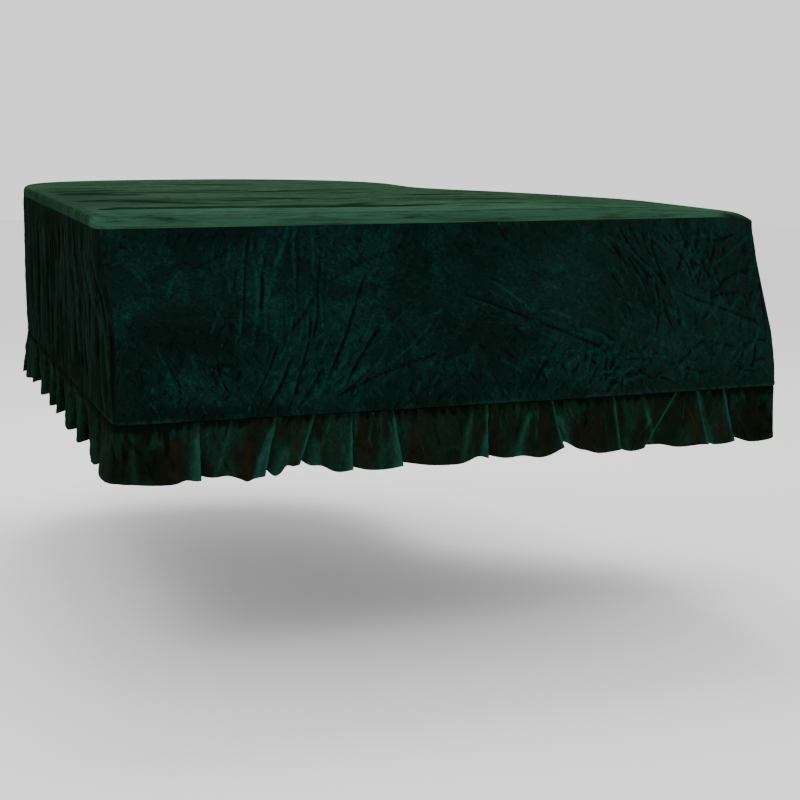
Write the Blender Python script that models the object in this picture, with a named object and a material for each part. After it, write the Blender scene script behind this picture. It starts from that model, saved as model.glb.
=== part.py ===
"""A fitted velvet cover with a pleated flounce, hanging as it does in use.

Metres, +Z up. The origin lies on the underside of the top, where the cover bears on what it
protects. +Y runs towards the rounded tail and +X towards the bentside, so the straight bass side
is at -X and the deep front skirt faces -Y. The cover is open below.

The maker's pieces are a top panel with a rolled edge, four skirt panels, and four flounce strips
cut from the same cloth and pleated to the skirt's lower edge.
"""
import math

import bmesh
import bpy
import numpy as np
from mathutils import Vector
from mathutils.geometry import delaunay_2d_cdt

# Cloth and seams.
CLOTH = 0.002
SEAM_GAP = 0.0003

# Outline of the top, seen from above, with its bass front corner at 0, 0.
TOP_WIDTH = 1.548
TOP_LENGTH = 1.64
FRONT_CORNER_RADIUS = 0.03
CHEEK_LENGTH = 0.60
CHEEK_RADIUS = 0.16
WAIST_Y = 0.92
WAIST_RADIUS = 0.25
TAIL_WIDTH = 1.065
TAIL_START_Y = 1.20
TAIL_MIDDLE_X = 0.54
TAIL_BASS_SQUARENESS = 3.0
TAIL_BENTSIDE_SQUARENESS = 2.0
ORIGIN_FROM_BASS = TOP_WIDTH / 2
ORIGIN_FROM_FRONT = 0.62

# Side view: a rolled edge, squarer than a circle's arc, the skirt, and the flounce below it.
EDGE_ROLL = 0.026
ROLL_SQUARENESS = 3.6
ROLL_TURNS = (90, 64, 44, 20)
TREBLE_FALL = 0.020
SKIRT_DROP = 0.380
FLOUNCE_DROP = 0.120
FRONT_STEP = 0.150
FRONT_STEP_REACH = 0.55
BASS_STEP_STARTS = 0.030
BASS_STEP_ENDS = 0.200
TREBLE_STEP_STARTS = -0.020
TREBLE_STEP_ENDS = 0.385
STEP_ROOM_AT_TOP = 0.04
TREBLE_TUCK = 0.012
TREBLE_TUCK_STARTS = 0.6
FLOUNCE_FLARE = 0.004
FLOUNCE_INSET = 0.0008

# Rows down the skirt and the flounce, as drops below each seam. Panels that meet at a front
# corner share their rows, so that both edges of the join follow the same step.
SKIRT_ROWS = (0.0, 0.035, 0.085, 0.135, 0.19, 0.25, 0.32, SKIRT_DROP)
FLOUNCE_ROWS = (0.0, 0.035, 0.08, FLOUNCE_DROP)

# Each skirt panel: name, column spacing, pitch of its hanging folds, and their height.
SKIRT_PANELS = (
    ("front", 0.026, 0.0, 0.0),
    ("bentside", 0.030, 0.125, 0.0075),
    ("tail", 0.030, 0.125, 0.0070),
    ("bass", 0.0155, 0.062, 0.0065),
)

# How the hanging folds fade out near a join, the top and the lower seam, how much of them there is
# at the top and where they are full, and how they wander and swell: length in pitches and size.
ROOM_AT_JOIN = 0.04
ROOM_AT_TOP = 0.02
ROOM_AT_SEAM = 0.05
FOLDS_AT_TOP = 0.25
FOLDS_FULL_DROP = 0.7 * SKIRT_DROP
FOLD_WANDERS = ((7.3, 1.5), (2.9, 0.7))
FOLD_SWELL = (4.1, 0.25)

# Main creases of the front panel: start x, start drop, end x, end drop, rise and half width.
FRONT_CREASES = (
    (0.27, 0.03, 0.13, 0.13, 0.005, 0.022),
    (0.33, 0.02, 0.25, 0.29, 0.006, 0.024),
    (0.41, 0.02, 0.38, 0.24, -0.005, 0.022),
    (0.48, 0.01, 0.33, 0.29, 0.006, 0.024),
    (0.75, 0.03, 0.45, 0.14, 0.005, 0.025),
    (0.78, 0.12, 1.15, 0.29, 0.006, 0.024),
    (1.16, 0.01, 1.27, 0.14, 0.005, 0.024),
    (1.26, 0.14, 1.48, 0.23, 0.006, 0.024),
    (0.45, 0.35, 0.77, 0.16, 0.006, 0.024),
    (0.40, 0.30, 0.64, 0.08, -0.005, 0.024),
    (0.50, 0.36, 0.76, 0.26, -0.005, 0.022),
    (1.10, 0.35, 1.30, 0.27, 0.006, 0.024),
    (1.44, 0.04, 1.31, 0.22, -0.005, 0.024),
)
CREASE_FULL_SHARE = 0.8
CREASE_TAPER = 0.12

# Long soft ridges across the top: middle x, middle y, half length, half width, height, lean.
TOP_RIDGES = (
    (0.36, 0.24, 0.42, 0.045, 0.004, 0.05),
    (0.55, 0.52, 0.50, 0.055, 0.005, -0.04),
    (0.45, 0.90, 0.48, 0.060, 0.004, 0.03),
    (1.12, 0.20, 0.40, 0.045, 0.004, -0.06),
    (0.52, 1.28, 0.42, 0.060, 0.004, 0.02),
    (1.02, 0.46, 0.36, 0.050, 0.004, 0.05),
)

# Flounce pleats: where the fold's edge lies along the seam and along the hem, measured from the
# start of the strip, how far the fold stands out, and how much the hem lifts behind it.
FRONT_PLEATS = (
    (0.165, 0.165, 0.026, 0.006),
    (0.328, 0.298, 0.028, 0.018),
    (0.411, 0.373, 0.020, 0.010),
    (0.491, 0.488, 0.026, 0.004),
    (0.583, 0.601, 0.022, 0.004),
    (0.798, 0.795, 0.030, 0.018),
    (0.952, 0.975, 0.030, 0.020),
    (1.103, 1.118, 0.020, 0.004),
    (1.263, 1.175, 0.024, 0.004),
    (1.316, 1.344, 0.020, 0.006),
    (1.387, 1.412, 0.022, 0.008),
)
BASS_PLEATS = (
    (0.060, 0.064, 0.028, 0.004),
    (0.270, 0.278, 0.032, 0.006),
    (0.435, 0.440, 0.030, 0.004),
    (0.545, 0.550, 0.026, 0.008),
    (0.740, 0.749, 0.032, 0.004),
    (0.858, 0.864, 0.028, 0.006),
    (1.028, 1.034, 0.030, 0.008),
)

# Where the front strip's hem is caught up: place along the hem, half width and rise.
FRONT_HEM_RISES = (
    (0.135, 0.015, 0.006),
    (0.222, 0.024, 0.010),
    (0.262, 0.010, -0.005),
    (0.372, 0.026, 0.018),
    (0.420, 0.024, 0.017),
    (0.796, 0.018, 0.011),
    (0.880, 0.028, 0.008),
    (0.985, 0.018, 0.013),
    (1.040, 0.028, 0.015),
    (1.225, 0.028, 0.007),
    (1.350, 0.020, -0.004),
)

# Pleats of the hidden sides: their pitch, depth, hem lift and lean, and how much each varies.
HIDDEN_PLEAT_PITCH = 0.165
HIDDEN_PITCH_VARIES = 0.22
HIDDEN_PLEAT_DEPTH = 0.027
HIDDEN_DEPTH_VARIES = 0.004
HIDDEN_PLEAT_LIFT = 0.006
HIDDEN_PLEAT_LEAN = 0.012

# Form of every pleat: its return, the steps across its face, how much it stands out at the seam
# and is set back, how its hem dips, where its fold turns back and how a hem lift fades out.
PLEAT_RETURN = 0.007
PLEAT_FACE_STEPS = (0.0, 0.18, 0.42, 0.68, 0.9, 1.0)
PLEAT_ROOT_SHARE = 0.05
PLEAT_SET_BACK = {"front": 0.45, "bentside": 0.5, "tail": 0.5, "bass": 0.75}
PLEAT_HEM_DIP = 0.006
FOLD_HEM_SHARE = 0.7
FOLD_LIFT_SHARE = 0.6
LIFT_FADES_OVER = 0.4
LAST_FACE_SWELL = 0.35
STRIP_START_ROOM = 0.035

# Cloth colours and finish: velvet is dull along the pile and pale where light skims it.
TOP_COLOUR = (0.045, 0.150, 0.105, 1.0)
SKIRT_COLOUR = (0.006, 0.060, 0.048, 1.0)
FLOUNCE_COLOUR = (0.010, 0.050, 0.036, 1.0)
VELVET_ROUGHNESS = 0.92


def smooth_step(value):
    """Rises from 0 to 1 with no corner at either end."""
    share = np.clip(value, 0.0, 1.0)
    return share * share * (3.0 - 2.0 * share)


def fillet(before, corner, after, radius, steps=20):
    """Points of the arc that rounds one corner of a straight-sided outline."""
    corner = Vector(corner)
    towards_before = (Vector(before) - corner).normalized()
    towards_after = (Vector(after) - corner).normalized()
    half_angle = towards_before.angle(towards_after) / 2
    start = corner + towards_before * radius / math.tan(half_angle)
    middle = corner + (towards_before + towards_after).normalized() * radius / math.sin(half_angle)
    end = corner + towards_after * radius / math.tan(half_angle)
    first = start - middle
    last = end - middle
    turn = first.angle_signed(last)
    points = []
    for step in range(steps + 1):
        angle = turn * step / steps
        arm = Vector((
            first.x * math.cos(angle) + first.y * math.sin(angle),
            -first.x * math.sin(angle) + first.y * math.cos(angle),
        ))
        points.append((middle.x + arm.x, middle.y + arm.y))
    return points


def tail_quarter(half_width, squareness, start_degrees, end_degrees, steps=30):
    """Points of one side of the tail, a quarter of a squared ellipse."""
    points = []
    for angle in np.radians(np.linspace(start_degrees, end_degrees, steps + 1)):
        across = math.copysign(abs(math.cos(angle)) ** (2 / squareness), math.cos(angle))
        along = abs(math.sin(angle)) ** (2 / squareness)
        points.append((
            TAIL_MIDDLE_X + half_width * across,
            TAIL_START_Y + (TOP_LENGTH - TAIL_START_Y) * along,
        ))
    return points


def top_outline():
    """The top's outline, from the middle of the bass front corner, along the front first."""
    bass_front = (0.0, 0.0)
    treble_front = (TOP_WIDTH, 0.0)
    cheek_back = (TOP_WIDTH, CHEEK_LENGTH)
    waist = (TAIL_WIDTH, WAIST_Y)
    tail_bentside = (TAIL_WIDTH, TAIL_START_Y)
    tail_bass = (0.0, TAIL_START_Y)
    first_corner = fillet(tail_bass, bass_front, treble_front, FRONT_CORNER_RADIUS)
    half = len(first_corner) // 2
    points = first_corner[half:]
    points += fillet(bass_front, treble_front, cheek_back, FRONT_CORNER_RADIUS)
    points += fillet(treble_front, cheek_back, waist, CHEEK_RADIUS)
    points += fillet(cheek_back, waist, tail_bentside, WAIST_RADIUS)
    points += tail_quarter(TAIL_WIDTH - TAIL_MIDDLE_X, TAIL_BENTSIDE_SQUARENESS, 0, 90)
    points += tail_quarter(TAIL_MIDDLE_X, TAIL_BASS_SQUARENESS, 90, 180)[1:]
    points += first_corner[:half + 1]
    return np.array(points)


OUTLINE = top_outline()
OUTLINE_RUN = np.concatenate(([0.0], np.cumsum(np.linalg.norm(np.diff(OUTLINE, axis=0), axis=1))))
GIRTH = float(OUTLINE_RUN[-1])


def along_outline(x, y):
    """Distance along the outline of its point nearest to x, y."""
    return float(OUTLINE_RUN[np.argmin(np.hypot(OUTLINE[:, 0] - x, OUTLINE[:, 1] - y))])


# Joins between the panels: the two front corners and the two ends of the tail.
TREBLE_CORNER_INSET = FRONT_CORNER_RADIUS * (1 - math.sqrt(0.5))
JOIN_TREBLE = along_outline(TOP_WIDTH - TREBLE_CORNER_INSET, TREBLE_CORNER_INSET)
JOIN_TAIL_BENTSIDE = along_outline(TAIL_WIDTH, TAIL_START_Y)
JOIN_TAIL_BASS = along_outline(0.0, TAIL_START_Y)
JOINS = {
    "front": (0.0, JOIN_TREBLE),
    "bentside": (JOIN_TREBLE, JOIN_TAIL_BENTSIDE),
    "tail": (JOIN_TAIL_BENTSIDE, JOIN_TAIL_BASS),
    "bass": (JOIN_TAIL_BASS, GIRTH),
}


def plan_point(run):
    """Plan point at a distance round the outline, which closes on itself."""
    run = np.mod(run, GIRTH)
    return np.stack([
        np.interp(run, OUTLINE_RUN, OUTLINE[:, 0]),
        np.interp(run, OUTLINE_RUN, OUTLINE[:, 1]),
    ], axis=-1)


def plan_outward(run, reach=0.006):
    """Outward direction in plan, read over a short stretch so that it turns smoothly."""
    along = plan_point(run + reach) - plan_point(run - reach)
    along /= np.linalg.norm(along, axis=-1, keepdims=True)
    return np.stack([along[..., 1], -along[..., 0]], axis=-1)


def crease_rise(across, drop):
    """Height of the front panel's creases: soft ridges and troughs along short lines."""
    rise = np.zeros(np.broadcast(across, drop).shape)
    for x0, drop0, x1, drop1, height, half_width in FRONT_CREASES:
        length = math.hypot(x1 - x0, drop1 - drop0)
        share = ((across - x0) * (x1 - x0) + (drop - drop0) * (drop1 - drop0)) / length ** 2
        aside = ((across - x0) * (drop1 - drop0) - (drop - drop0) * (x1 - x0)) / length
        past_full = np.clip(np.abs(share - 0.5) - CREASE_FULL_SHARE / 2, 0, None)
        taper = np.exp(-(past_full / CREASE_TAPER) ** 2)
        rise = rise + height * taper * np.exp(-(aside / half_width) ** 2)
    return rise


def hanging_folds(side, run, drop):
    """Height of the folds of one skirt panel, none at its joins, its top or its lower seam."""
    start, end = JOINS[side]
    pitch, height = {name: (fold, rise) for name, _, fold, rise in SKIRT_PANELS}[side]
    near_join = np.minimum(run - start, end - run)
    room = smooth_step(near_join / ROOM_AT_JOIN) * smooth_step((SKIRT_DROP - drop) / ROOM_AT_SEAM)
    room = room * smooth_step(drop / ROOM_AT_TOP)
    if side == "front":
        return room * crease_rise(plan_point(run)[..., 0], drop)
    turn = run * 2 * math.pi / pitch
    wander = sum(size * np.sin(turn / pitches) for pitches, size in FOLD_WANDERS)
    swell_pitches, swell_size = FOLD_SWELL
    swell = 1 - swell_size + swell_size * np.sin(turn / swell_pitches + 1.0)
    growth = FOLDS_AT_TOP + (1 - FOLDS_AT_TOP) * smooth_step(drop / FOLDS_FULL_DROP)
    return room * height * swell * growth * np.sin(turn + wander)


def skirt_point(side, run, drop, folded=True):
    """Point of the skirt's outer face at a distance round the outline and a drop below the edge."""
    run, drop = np.broadcast_arrays(np.asarray(run, float), np.asarray(drop, float))
    plan = plan_point(run)
    outward = plan_outward(run)
    across = plan[..., 0] / TOP_WIDTH
    step_starts = BASS_STEP_STARTS + (TREBLE_STEP_STARTS - BASS_STEP_STARTS) * across
    step_ends = BASS_STEP_ENDS + (TREBLE_STEP_ENDS - BASS_STEP_ENDS) * across
    forward = smooth_step((drop - step_starts) / (step_ends - step_starts))
    forward = forward * smooth_step(drop / STEP_ROOM_AT_TOP)
    step = FRONT_STEP * forward * (1 - smooth_step(plan[..., 1] / FRONT_STEP_REACH))
    near_treble = smooth_step((across - TREBLE_TUCK_STARTS) / (1 - TREBLE_TUCK_STARTS))
    out = -TREBLE_TUCK * smooth_step(drop / SKIRT_DROP) * near_treble
    if folded:
        out = out + hanging_folds(side, run, drop)
    return np.stack([
        plan[..., 0] + outward[..., 0] * out - ORIGIN_FROM_BASS,
        plan[..., 1] + outward[..., 1] * out - step - ORIGIN_FROM_FRONT,
        CLOTH - EDGE_ROLL - drop,
    ], axis=-1)


def skirt_facing(side, run, drop, folded=True, reach=0.003):
    """Direction that the skirt's outer face looks in."""
    along = skirt_point(side, run + reach, drop, folded) - skirt_point(side, run - reach, drop, folded)
    down = skirt_point(side, run, drop + reach, folded) - skirt_point(side, run, drop - reach, folded)
    facing = np.cross(down, along)
    return facing / np.linalg.norm(facing, axis=-1, keepdims=True)


def level(facing):
    """The same directions made horizontal, for the edges that meet at a seam."""
    flat = facing * np.array([1.0, 1.0, 0.0])
    return flat / np.linalg.norm(flat, axis=-1, keepdims=True)


def velvet(name, colour):
    """Cloth material of one colour."""
    material = bpy.data.materials.new(name)
    material.use_nodes = True
    shader = material.node_tree.nodes["Principled BSDF"]
    shader.inputs["Base Color"].default_value = colour
    shader.inputs["Roughness"].default_value = VELVET_ROUGHNESS
    shader.inputs["Metallic"].default_value = 0.0
    shader.inputs["Sheen Weight"].default_value = 0.6
    material.diffuse_color = colour
    return material


def add_object(name, mesh_builder, material):
    """Puts a finished mesh in the scene under its piece's name."""
    bmesh.ops.recalc_face_normals(mesh_builder, faces=mesh_builder.faces)
    mesh = bpy.data.meshes.new(name)
    mesh_builder.to_mesh(mesh)
    mesh_builder.free()
    mesh.shade_smooth()
    mesh.set_sharp_from_angle(angle=math.radians(50))
    mesh.materials.append(material)
    piece = bpy.data.objects.new(name, mesh)
    bpy.context.collection.objects.link(piece)
    return piece


def cloth_strip(name, outer, facing, material):
    """A strip of cloth of even thickness: its outer face given as columns of points, its inner
    face one cloth thickness behind, and its four edges closed."""
    builder = bmesh.new()
    columns, rows = outer.shape[:2]
    inner = outer - facing * CLOTH
    front = [[builder.verts.new(outer[i, j]) for j in range(rows)] for i in range(columns)]
    back = [[builder.verts.new(inner[i, j]) for j in range(rows)] for i in range(columns)]
    for i in range(columns - 1):
        for j in range(rows - 1):
            builder.faces.new((front[i][j], front[i][j + 1], front[i + 1][j + 1], front[i + 1][j]))
            builder.faces.new((back[i][j], back[i + 1][j], back[i + 1][j + 1], back[i][j + 1]))
    for i in range(columns - 1):
        for j in (0, rows - 1):
            builder.faces.new((front[i][j], front[i + 1][j], back[i + 1][j], back[i][j]))
    for j in range(rows - 1):
        for i in (0, columns - 1):
            builder.faces.new((front[i][j], front[i][j + 1], back[i][j + 1], back[i][j]))
    return add_object(name, builder, material)


def skirt_panel(side, spacing, material):
    """One skirt panel between two joins, from the rolled edge down to the flounce seam."""
    start, end = JOINS[side]
    count = round((end - start) / spacing)
    runs = np.linspace(start + SEAM_GAP / 2, end - SEAM_GAP / 2, count + 1)
    drops = np.array(SKIRT_ROWS)
    drops[0] = SEAM_GAP
    grid_run, grid_drop = np.meshgrid(runs, drops, indexing="ij")
    outer = skirt_point(side, grid_run, grid_drop)
    facing = skirt_facing(side, grid_run, grid_drop)
    facing[:, 0] = level(facing[:, 0])
    facing[:, -1] = level(facing[:, -1])
    return cloth_strip(side + "_panel", outer, facing, material)


def hidden_pleats(side):
    """Uneven pleats for the sides that curve: the same rows as the pleat tables."""
    start, end = JOINS[side]
    count = round((end - start) / HIDDEN_PLEAT_PITCH)
    rows = []
    for number in range(1, count):
        edge = (number + HIDDEN_PITCH_VARIES * math.sin(5.1 * number)) * (end - start) / count
        lean = HIDDEN_PLEAT_LEAN * math.sin(2.3 * number + 1.0)
        depth = HIDDEN_PLEAT_DEPTH + HIDDEN_DEPTH_VARIES * math.sin(3.7 * number)
        rows.append((edge, edge + lean, depth, HIDDEN_PLEAT_LIFT))
    return tuple(rows)


def hem_rise(places):
    """How far the front strip's hem is caught up at places along it."""
    rise = np.zeros_like(places)
    for middle, half_width, height in FRONT_HEM_RISES:
        rise += height * np.exp(-((places - middle) / half_width) ** 2)
    return rise


def flounce_columns(pleats, length, set_back):
    """Columns of a flounce strip: seam place, hem place, how far out, and hem lift, of each."""
    columns = []
    last = (SEAM_GAP / 2, SEAM_GAP / 2)
    last_depth = pleats[-1][2]
    lift_behind = 0.0
    for seam_edge, hem_edge, depth, lift in pleats:
        for share in PLEAT_FACE_STEPS:
            fades = 1 - float(smooth_step(share / LIFT_FADES_OVER))
            columns.append((
                last[0] + (seam_edge - last[0]) * share,
                last[1] + (hem_edge - last[1]) * share,
                depth * (math.sin(share * math.pi / 2) - set_back),
                lift_behind * fades - PLEAT_HEM_DIP * math.sin(share * math.pi),
            ))
        columns.append((
            seam_edge + 0.5 * PLEAT_RETURN,
            hem_edge + FOLD_HEM_SHARE * PLEAT_RETURN,
            depth * (0.5 - set_back),
            FOLD_LIFT_SHARE * lift,
        ))
        last = (seam_edge + PLEAT_RETURN, hem_edge + PLEAT_RETURN)
        lift_behind = lift
    end = length - SEAM_GAP / 2
    for share in PLEAT_FACE_STEPS:
        columns.append((
            last[0] + (end - last[0]) * share,
            last[1] + (end - last[1]) * share,
            LAST_FACE_SWELL * last_depth * math.sin(share * math.pi),
            lift_behind * (1 - float(smooth_step(share / LIFT_FADES_OVER))),
        ))
    table = np.array(columns)
    table[:, 2] *= smooth_step(table[:, 1] / STRIP_START_ROOM)
    return table


def flounce_strip(side, pleats, material):
    """One pleated strip, gathered at the skirt's lower edge and standing out at its hem."""
    start, end = JOINS[side]
    table = flounce_columns(pleats, end - start, PLEAT_SET_BACK[side])
    if side == "front":
        table[:, 3] += hem_rise(table[:, 1])
    drops = np.array(FLOUNCE_ROWS)
    share = drops / FLOUNCE_DROP
    run = start + table[:, 0, None] * (1 - share) + table[:, 1, None] * share
    opened = PLEAT_ROOT_SHARE + (1 - PLEAT_ROOT_SHARE) * share ** 0.8
    out = table[:, 2, None] * opened + FLOUNCE_FLARE * share ** 1.5 - FLOUNCE_INSET
    fall = SKIRT_DROP + drops - table[:, 3, None] * share ** 2
    fall[:, 0] += SEAM_GAP
    base = skirt_point(side, run, SKIRT_DROP, folded=False)
    outward = level(skirt_facing(side, run, np.full_like(run, SKIRT_DROP), folded=False))
    outer = base + outward * out[..., None]
    outer[..., 2] = CLOTH - EDGE_ROLL - fall
    along = np.gradient(outer, axis=0)
    down = np.gradient(outer, axis=1)
    facing = np.cross(down, along)
    facing /= np.linalg.norm(facing, axis=-1, keepdims=True)
    facing[0] = outward[0]
    facing[-1] = outward[-1]
    facing[:, 0] = level(facing[:, 0])
    return cloth_strip(side + "_flounce", outer, facing, material)


def top_ridge(x, y):
    """Height of the long soft ridges in which the top lies, none close to its edge."""
    rise = np.zeros(np.shape(x))
    for middle_x, middle_y, half_length, half_width, height, lean in TOP_RIDGES:
        along = (x - middle_x) / half_length
        across = (y - middle_y - lean * (x - middle_x)) / half_width
        rise = rise + height * np.exp(-along ** 4) * np.exp(-across ** 2)
    return rise


def treble_fall(x):
    """How far the top sinks towards the treble edge, where it reaches past what carries it."""
    return TREBLE_FALL * np.clip((x - TAIL_WIDTH) / (TOP_WIDTH - TAIL_WIDTH), 0, 1) ** 1.5


def top_panel(material, ring_spacing=0.050, row_spacing=0.070, column_spacing=0.130):
    """The top: a flat sheet whose edge rolls down to the skirt seam."""
    count = round(GIRTH / ring_spacing)
    runs = np.arange(count) * GIRTH / count
    plan = plan_point(runs)
    outward = plan_outward(runs)
    flat_edge = plan - outward * EDGE_ROLL
    builder = bmesh.new()
    rings = []
    for turn in ROLL_TURNS:
        reaches_out = math.sin(math.radians(turn)) ** (2 / ROLL_SQUARENESS)
        reaches_up = max(math.cos(math.radians(turn)), 0.0) ** (2 / ROLL_SQUARENESS)
        for skin in (0.0, CLOTH):
            radius = EDGE_ROLL - skin
            place = flat_edge + outward * radius * reaches_out
            height = CLOTH - EDGE_ROLL + (radius - treble_fall(flat_edge[:, 0])) * reaches_up
            rings.append([
                builder.verts.new((x - ORIGIN_FROM_BASS, y - ORIGIN_FROM_FRONT, z))
                for (x, y), z in zip(place, height)
            ])
    inside = [tuple(point) for point in flat_edge]
    for row, y in enumerate(np.arange(row_spacing, TOP_LENGTH, row_spacing)):
        for x in np.arange(column_spacing * (0.5 + 0.5 * (row % 2)), TOP_WIDTH, column_spacing):
            nearest = np.argmin(np.hypot(flat_edge[:, 0] - x, flat_edge[:, 1] - y))
            depth = np.dot(flat_edge[nearest] - (x, y), outward[nearest])
            if depth > 0.45 * row_spacing:
                inside.append((x, y))
    border = [(i, (i + 1) % count) for i in range(count)]
    points, _, faces, origins, _, _ = delaunay_2d_cdt([Vector(p) for p in inside], border, [], 1, 1e-6)
    flat_x = np.array([p.x for p in points])
    flat_y = np.array([p.y for p in points])
    to_edge = np.hypot(flat_x[:, None] - flat_edge[:, 0], flat_y[:, None] - flat_edge[:, 1])
    from_edge = np.min(to_edge, axis=1)
    lift = top_ridge(flat_x, flat_y) * smooth_step(from_edge / 0.08) - treble_fall(flat_x)
    sheets = []
    for skin in (0.0, CLOTH):
        sheets.append([
            builder.verts.new((x - ORIGIN_FROM_BASS, y - ORIGIN_FROM_FRONT, CLOTH - skin + z))
            for x, y, z in zip(flat_x, flat_y, lift)
        ])
    for face in faces:
        builder.faces.new([sheets[0][v] for v in face])
        builder.faces.new([sheets[1][v] for v in reversed(face)])
    border_vertex = {}
    for vertex, sources in enumerate(origins):
        for source in sources:
            border_vertex[source] = vertex
    outer_rings = rings[0::2] + [[sheets[0][border_vertex[i]] for i in range(count)]]
    inner_rings = rings[1::2] + [[sheets[1][border_vertex[i]] for i in range(count)]]
    for skin in (outer_rings, inner_rings):
        for low, high in zip(skin, skin[1:]):
            for i, j in border:
                builder.faces.new((low[i], low[j], high[j], high[i]))
    for i, j in border:
        builder.faces.new((outer_rings[0][i], inner_rings[0][i], inner_rings[0][j], outer_rings[0][j]))
    return add_object("top_panel", builder, material)


def build_cover():
    """Clears the scene and makes the cover's nine pieces."""
    for thing in list(bpy.data.objects):
        bpy.data.objects.remove(thing, do_unlink=True)
    top_velvet = velvet("top velvet", TOP_COLOUR)
    skirt_velvet = velvet("skirt velvet", SKIRT_COLOUR)
    flounce_velvet = velvet("flounce velvet", FLOUNCE_COLOUR)
    top_panel(top_velvet)
    pleats = {
        "front": FRONT_PLEATS,
        "bentside": hidden_pleats("bentside"),
        "tail": hidden_pleats("tail"),
        "bass": BASS_PLEATS,
    }
    for side, spacing, _, _ in SKIRT_PANELS:
        skirt_panel(side, spacing, skirt_velvet)
        flounce_strip(side, pleats[side], flounce_velvet)


build_cover()
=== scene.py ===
# %% [markdown]
# # A fitted velvet cover with a pleated flounce
# The real thing is a loose box without a bottom, sewn from crushed velvet. One flat panel lies on
# top, four panels hang from its edge, and a pleated flounce is gathered to each panel's lower
# edge. The imported solids already have its sizes and its main folds. This lesson dresses them with
# thin cloth that has the fine creases, the seams, the hem and the finish of the real cloth.
# The frame is loaded first, because every piece is placed by it.

# %% Load the frame
import math

import bpy
import numpy as np
from mathutils import Matrix, Vector
from mathutils.geometry import delaunay_2d_cdt


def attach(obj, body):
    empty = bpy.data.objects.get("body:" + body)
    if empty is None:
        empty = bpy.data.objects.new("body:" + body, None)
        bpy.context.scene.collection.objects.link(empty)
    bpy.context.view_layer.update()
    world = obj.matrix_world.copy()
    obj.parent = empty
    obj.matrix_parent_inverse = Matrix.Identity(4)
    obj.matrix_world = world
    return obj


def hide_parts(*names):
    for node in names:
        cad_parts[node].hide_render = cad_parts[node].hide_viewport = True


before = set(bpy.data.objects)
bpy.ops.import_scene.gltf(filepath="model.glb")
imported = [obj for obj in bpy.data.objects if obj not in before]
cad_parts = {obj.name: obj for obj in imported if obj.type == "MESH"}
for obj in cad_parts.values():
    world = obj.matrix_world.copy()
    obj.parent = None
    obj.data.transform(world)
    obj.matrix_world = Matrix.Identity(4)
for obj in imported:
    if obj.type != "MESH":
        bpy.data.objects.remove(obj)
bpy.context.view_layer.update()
bpy.ops.object.select_all(action="DESELECT")

# %% [markdown]
# The camera stands a little left of the cover's front and just above its top, so the top shows as
# a narrow sloping band. A camera is easiest to check when its place, its turn and its tilt are
# separate values. Three axes made from them give its matrix, and the lens comes last.

# %% Camera
CAMERA_PLACE = Vector((-1.275, -3.880, 0.223))
CAMERA_TURN = math.radians(19.575)
CAMERA_TILT = math.radians(10.425)
CAMERA_ROLL = math.radians(0.34)
LENS_MM = 71.5
SENSOR_MM = 36.0


def place_camera():
    """Adds the camera, looking right of +Y and down."""
    looks = Vector((
        math.sin(CAMERA_TURN) * math.cos(CAMERA_TILT),
        math.cos(CAMERA_TURN) * math.cos(CAMERA_TILT),
        -math.sin(CAMERA_TILT),
    ))
    level_right = Vector((math.cos(CAMERA_TURN), -math.sin(CAMERA_TURN), 0.0))
    level_up = level_right.cross(looks)
    right = level_right * math.cos(CAMERA_ROLL) + level_up * math.sin(CAMERA_ROLL)
    up = level_up * math.cos(CAMERA_ROLL) - level_right * math.sin(CAMERA_ROLL)
    lens = bpy.data.cameras.new("camera")
    lens.lens = LENS_MM
    lens.sensor_width = SENSOR_MM
    camera = bpy.data.objects.new("camera", lens)
    bpy.context.collection.objects.link(camera)
    axes = Matrix((right, up, -looks)).transposed().to_4x4()
    camera.matrix_world = Matrix.Translation(CAMERA_PLACE) @ axes
    return camera


bpy.context.scene.camera = place_camera()
print("camera at", tuple(bpy.context.scene.camera.location))

# %% [markdown]
# The outline of the top is the pattern piece that everything hangs from. It is straight along
# the front and the left, goes round a cheek and a waist on the right, and ends in a blunt tail.
# The same few sizes as the solids have give it here: corners are arcs, the tail two quarters of
# a squared ellipse. Distances along this outline then place every panel, fold and pleat.

# %% Outline of the top
CLOTH = 0.002
SEAM_GAP = 0.0003
TOP_WIDTH = 1.548
TOP_LENGTH = 1.64
FRONT_CORNER_RADIUS = 0.03
CHEEK_LENGTH = 0.60
CHEEK_RADIUS = 0.16
WAIST_Y = 0.92
WAIST_RADIUS = 0.25
TAIL_WIDTH = 1.065
TAIL_START_Y = 1.20
TAIL_MIDDLE_X = 0.54
TAIL_BASS_SQUARENESS = 3.0
TAIL_BENTSIDE_SQUARENESS = 2.0
ORIGIN_FROM_BASS = TOP_WIDTH / 2
ORIGIN_FROM_FRONT = 0.62


def fillet(before, corner, after, radius, steps=24):
    """Points of the arc that rounds one corner of a straight-sided outline."""
    corner = Vector(corner)
    towards_before = (Vector(before) - corner).normalized()
    towards_after = (Vector(after) - corner).normalized()
    half_angle = towards_before.angle(towards_after) / 2
    start = corner + towards_before * radius / math.tan(half_angle)
    middle = corner + (towards_before + towards_after).normalized() * radius / math.sin(half_angle)
    end = corner + towards_after * radius / math.tan(half_angle)
    first = start - middle
    turn = first.angle_signed(end - middle)
    points = []
    for step in range(steps + 1):
        arm = first.copy()
        arm.rotate(Matrix.Rotation(-turn * step / steps, 2))
        points.append((middle.x + arm.x, middle.y + arm.y))
    return points


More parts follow.
